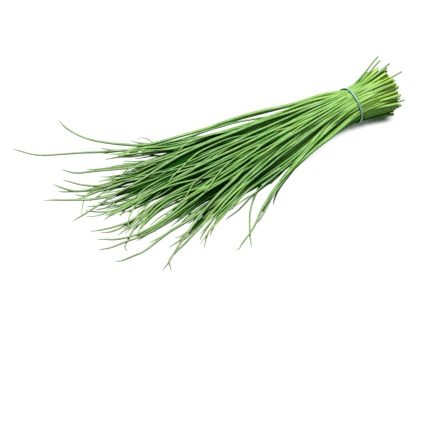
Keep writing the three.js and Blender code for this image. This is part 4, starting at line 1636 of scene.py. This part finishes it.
def band_piece():
    """A strip with soft corners round the leaves, a little uneven."""
    rng = np.random.default_rng(BAND_SEED)
    inner = band_reach()
    piece = PieceMesh(1)
    section = 2 * math.pi * np.arange(BAND_SECTION) / BAND_SECTION
    out, wide = soft_square(np.cos(section)), soft_square(np.sin(section))
    # where the band gets painted shade: its two sides and its inner face against the leaves
    edge = np.clip(0.5 * np.abs(wide) ** 2 + 0.5 * np.clip(-out, 0, 1) + 0.2, 0, 1)
    waves = [(k, rng.uniform(0, 6), rng.uniform(0.4, 1)) for k in (2, 3, 5, 8)]
    rings = []
    for k in range(BAND_AROUND):
        a = 2 * math.pi * k / BAND_AROUND
        sway = sum(size * math.sin(n * a + phase) for n, phase, size in waves)
        thick = 1 + 0.05 * math.sin(7 * a + 1) + 0.04 * sway
        reach = inner[k] + BAND_THICKNESS / 2 + BAND_GAP
        r = reach + out * BAND_THICKNESS / 2 * thick
        x = BAND_SWAY * sway + wide * BAND_WIDTH / 2 * thick
        lean = BAND_LEAN * math.cos(a - math.radians(BAND_LEAN_AT))
        points = np.stack([
            x - lean, r * math.cos(a), WAIST_HEIGHT + r * math.sin(a)
        ], axis=1)
        place = np.stack([
            x, reach * math.cos(a) + out, np.full(BAND_SECTION, reach * math.sin(a))
        ], axis=1)
        rings.append(piece.ring(points, place, (0, 0, 0), inside=edge))
    for k in range(BAND_AROUND):
        one, two = rings[k], rings[(k + 1) % BAND_AROUND]
        piece.join(one, two, BAND_SECTION, k / BAND_AROUND, (k + 1) / BAND_AROUND)
    return piece.build("rubber_band_ring")


dress(band_piece(), band_material(), "rubber_band")

# ------------------------------------------------------------- the studio

FLOOR_HALF = 3.0
SHADOW_REACH = 0.0078  # how near the leaves are where the floor is dark under them
SHADOW_COLOUR = (0.84, 1, 0.88)
WORLD_STRENGTH = 0.35


def floor():
    """A white floor that gives off its own even light, with a painted shadow where the leaves near
    the waist touch it.
    """
    n = Nodes("studio_floor")
    along = n.parts(n.add("ShaderNodeNewGeometry").outputs["Position"])[0]
    open_air = n.add("ShaderNodeAmbientOcclusion", {"Distance": SHADOW_REACH}, samples=8)
    dark = n.maths("MULTIPLY", n.range(open_air.outputs["AO"], 0.4, 0.82, 0.95, 0.0),
                   n.range(along, 0.03, 0.075, 0.0, 1.0))
    n.finish({
        "Base Color": (0.06, 0.06, 0.06),
        "Roughness": 0.7,
        "Specular IOR Level": 0.0,
        "Emission Color": n.mix(n.range(dark, 0.0, 0.7, 0.0, 1.0), WHITE, SHADOW_COLOUR),
        "Emission Strength": n.maths("SUBTRACT", 1.0, dark),
    })
    mesh = bpy.data.meshes.new("studio_floor")
    corners = [(-1, -1), (1, -1), (1, 1), (-1, 1)]
    mesh.from_pydata([(x * FLOOR_HALF, y * FLOOR_HALF, 0) for x, y in corners],
                     [], [(0, 1, 2, 3)])
    mesh.materials.append(n.material)
    link("studio_floor", mesh)


def aimed(name, data, place, back):
    """Puts a lamp or a camera in its place, level, looking along -back."""
    obj = link(name, data)
    right, up = level_axes(back)
    turn = Matrix([list(row) for row in np.stack([right, up, back], axis=1)])
    obj.location = place
    obj.rotation_mode = "QUATERNION"
    obj.rotation_quaternion = turn.to_quaternion()
    return obj


def area_light(name, place, aim, size, power, colour):
    data = bpy.data.lights.new(name, "AREA")
    data.shape = "DISK"
    data.size = size
    data.energy = power
    data.color = colour
    back = np.array(place, float) - np.array(aim, float)
    aimed(name, data, place, back / np.linalg.norm(back))


def camera():
    data = bpy.data.cameras.new("camera")
    data.lens, data.sensor_width = CAMERA_LENS, SENSOR
    data.clip_start, data.clip_end = 0.01, 20
    place = (photo.eye - (FOOTPRINT_X, FOOTPRINT_Y, 0)) / 1000
    scene.camera = aimed("camera", data, place, photo.back)


floor()
area_light("key", (-0.1, 0.2, 1.5), (0, 0, 0), 0.4, 31, (1, 0.99, 0.97))
area_light("top", (0, 0.1, 1.9), (0, 0.001, 0), 1.6, 40, (0.97, 0.985, 1))
camera()

world = bpy.data.worlds.new("studio")
world.use_nodes = True
sky = world.node_tree.nodes["Background"]
sky.inputs["Color"].default_value = WHITE + (1,)
sky.inputs["Strength"].default_value = WORLD_STRENGTH
scene.world = world
scene.view_settings.view_transform = "Standard"
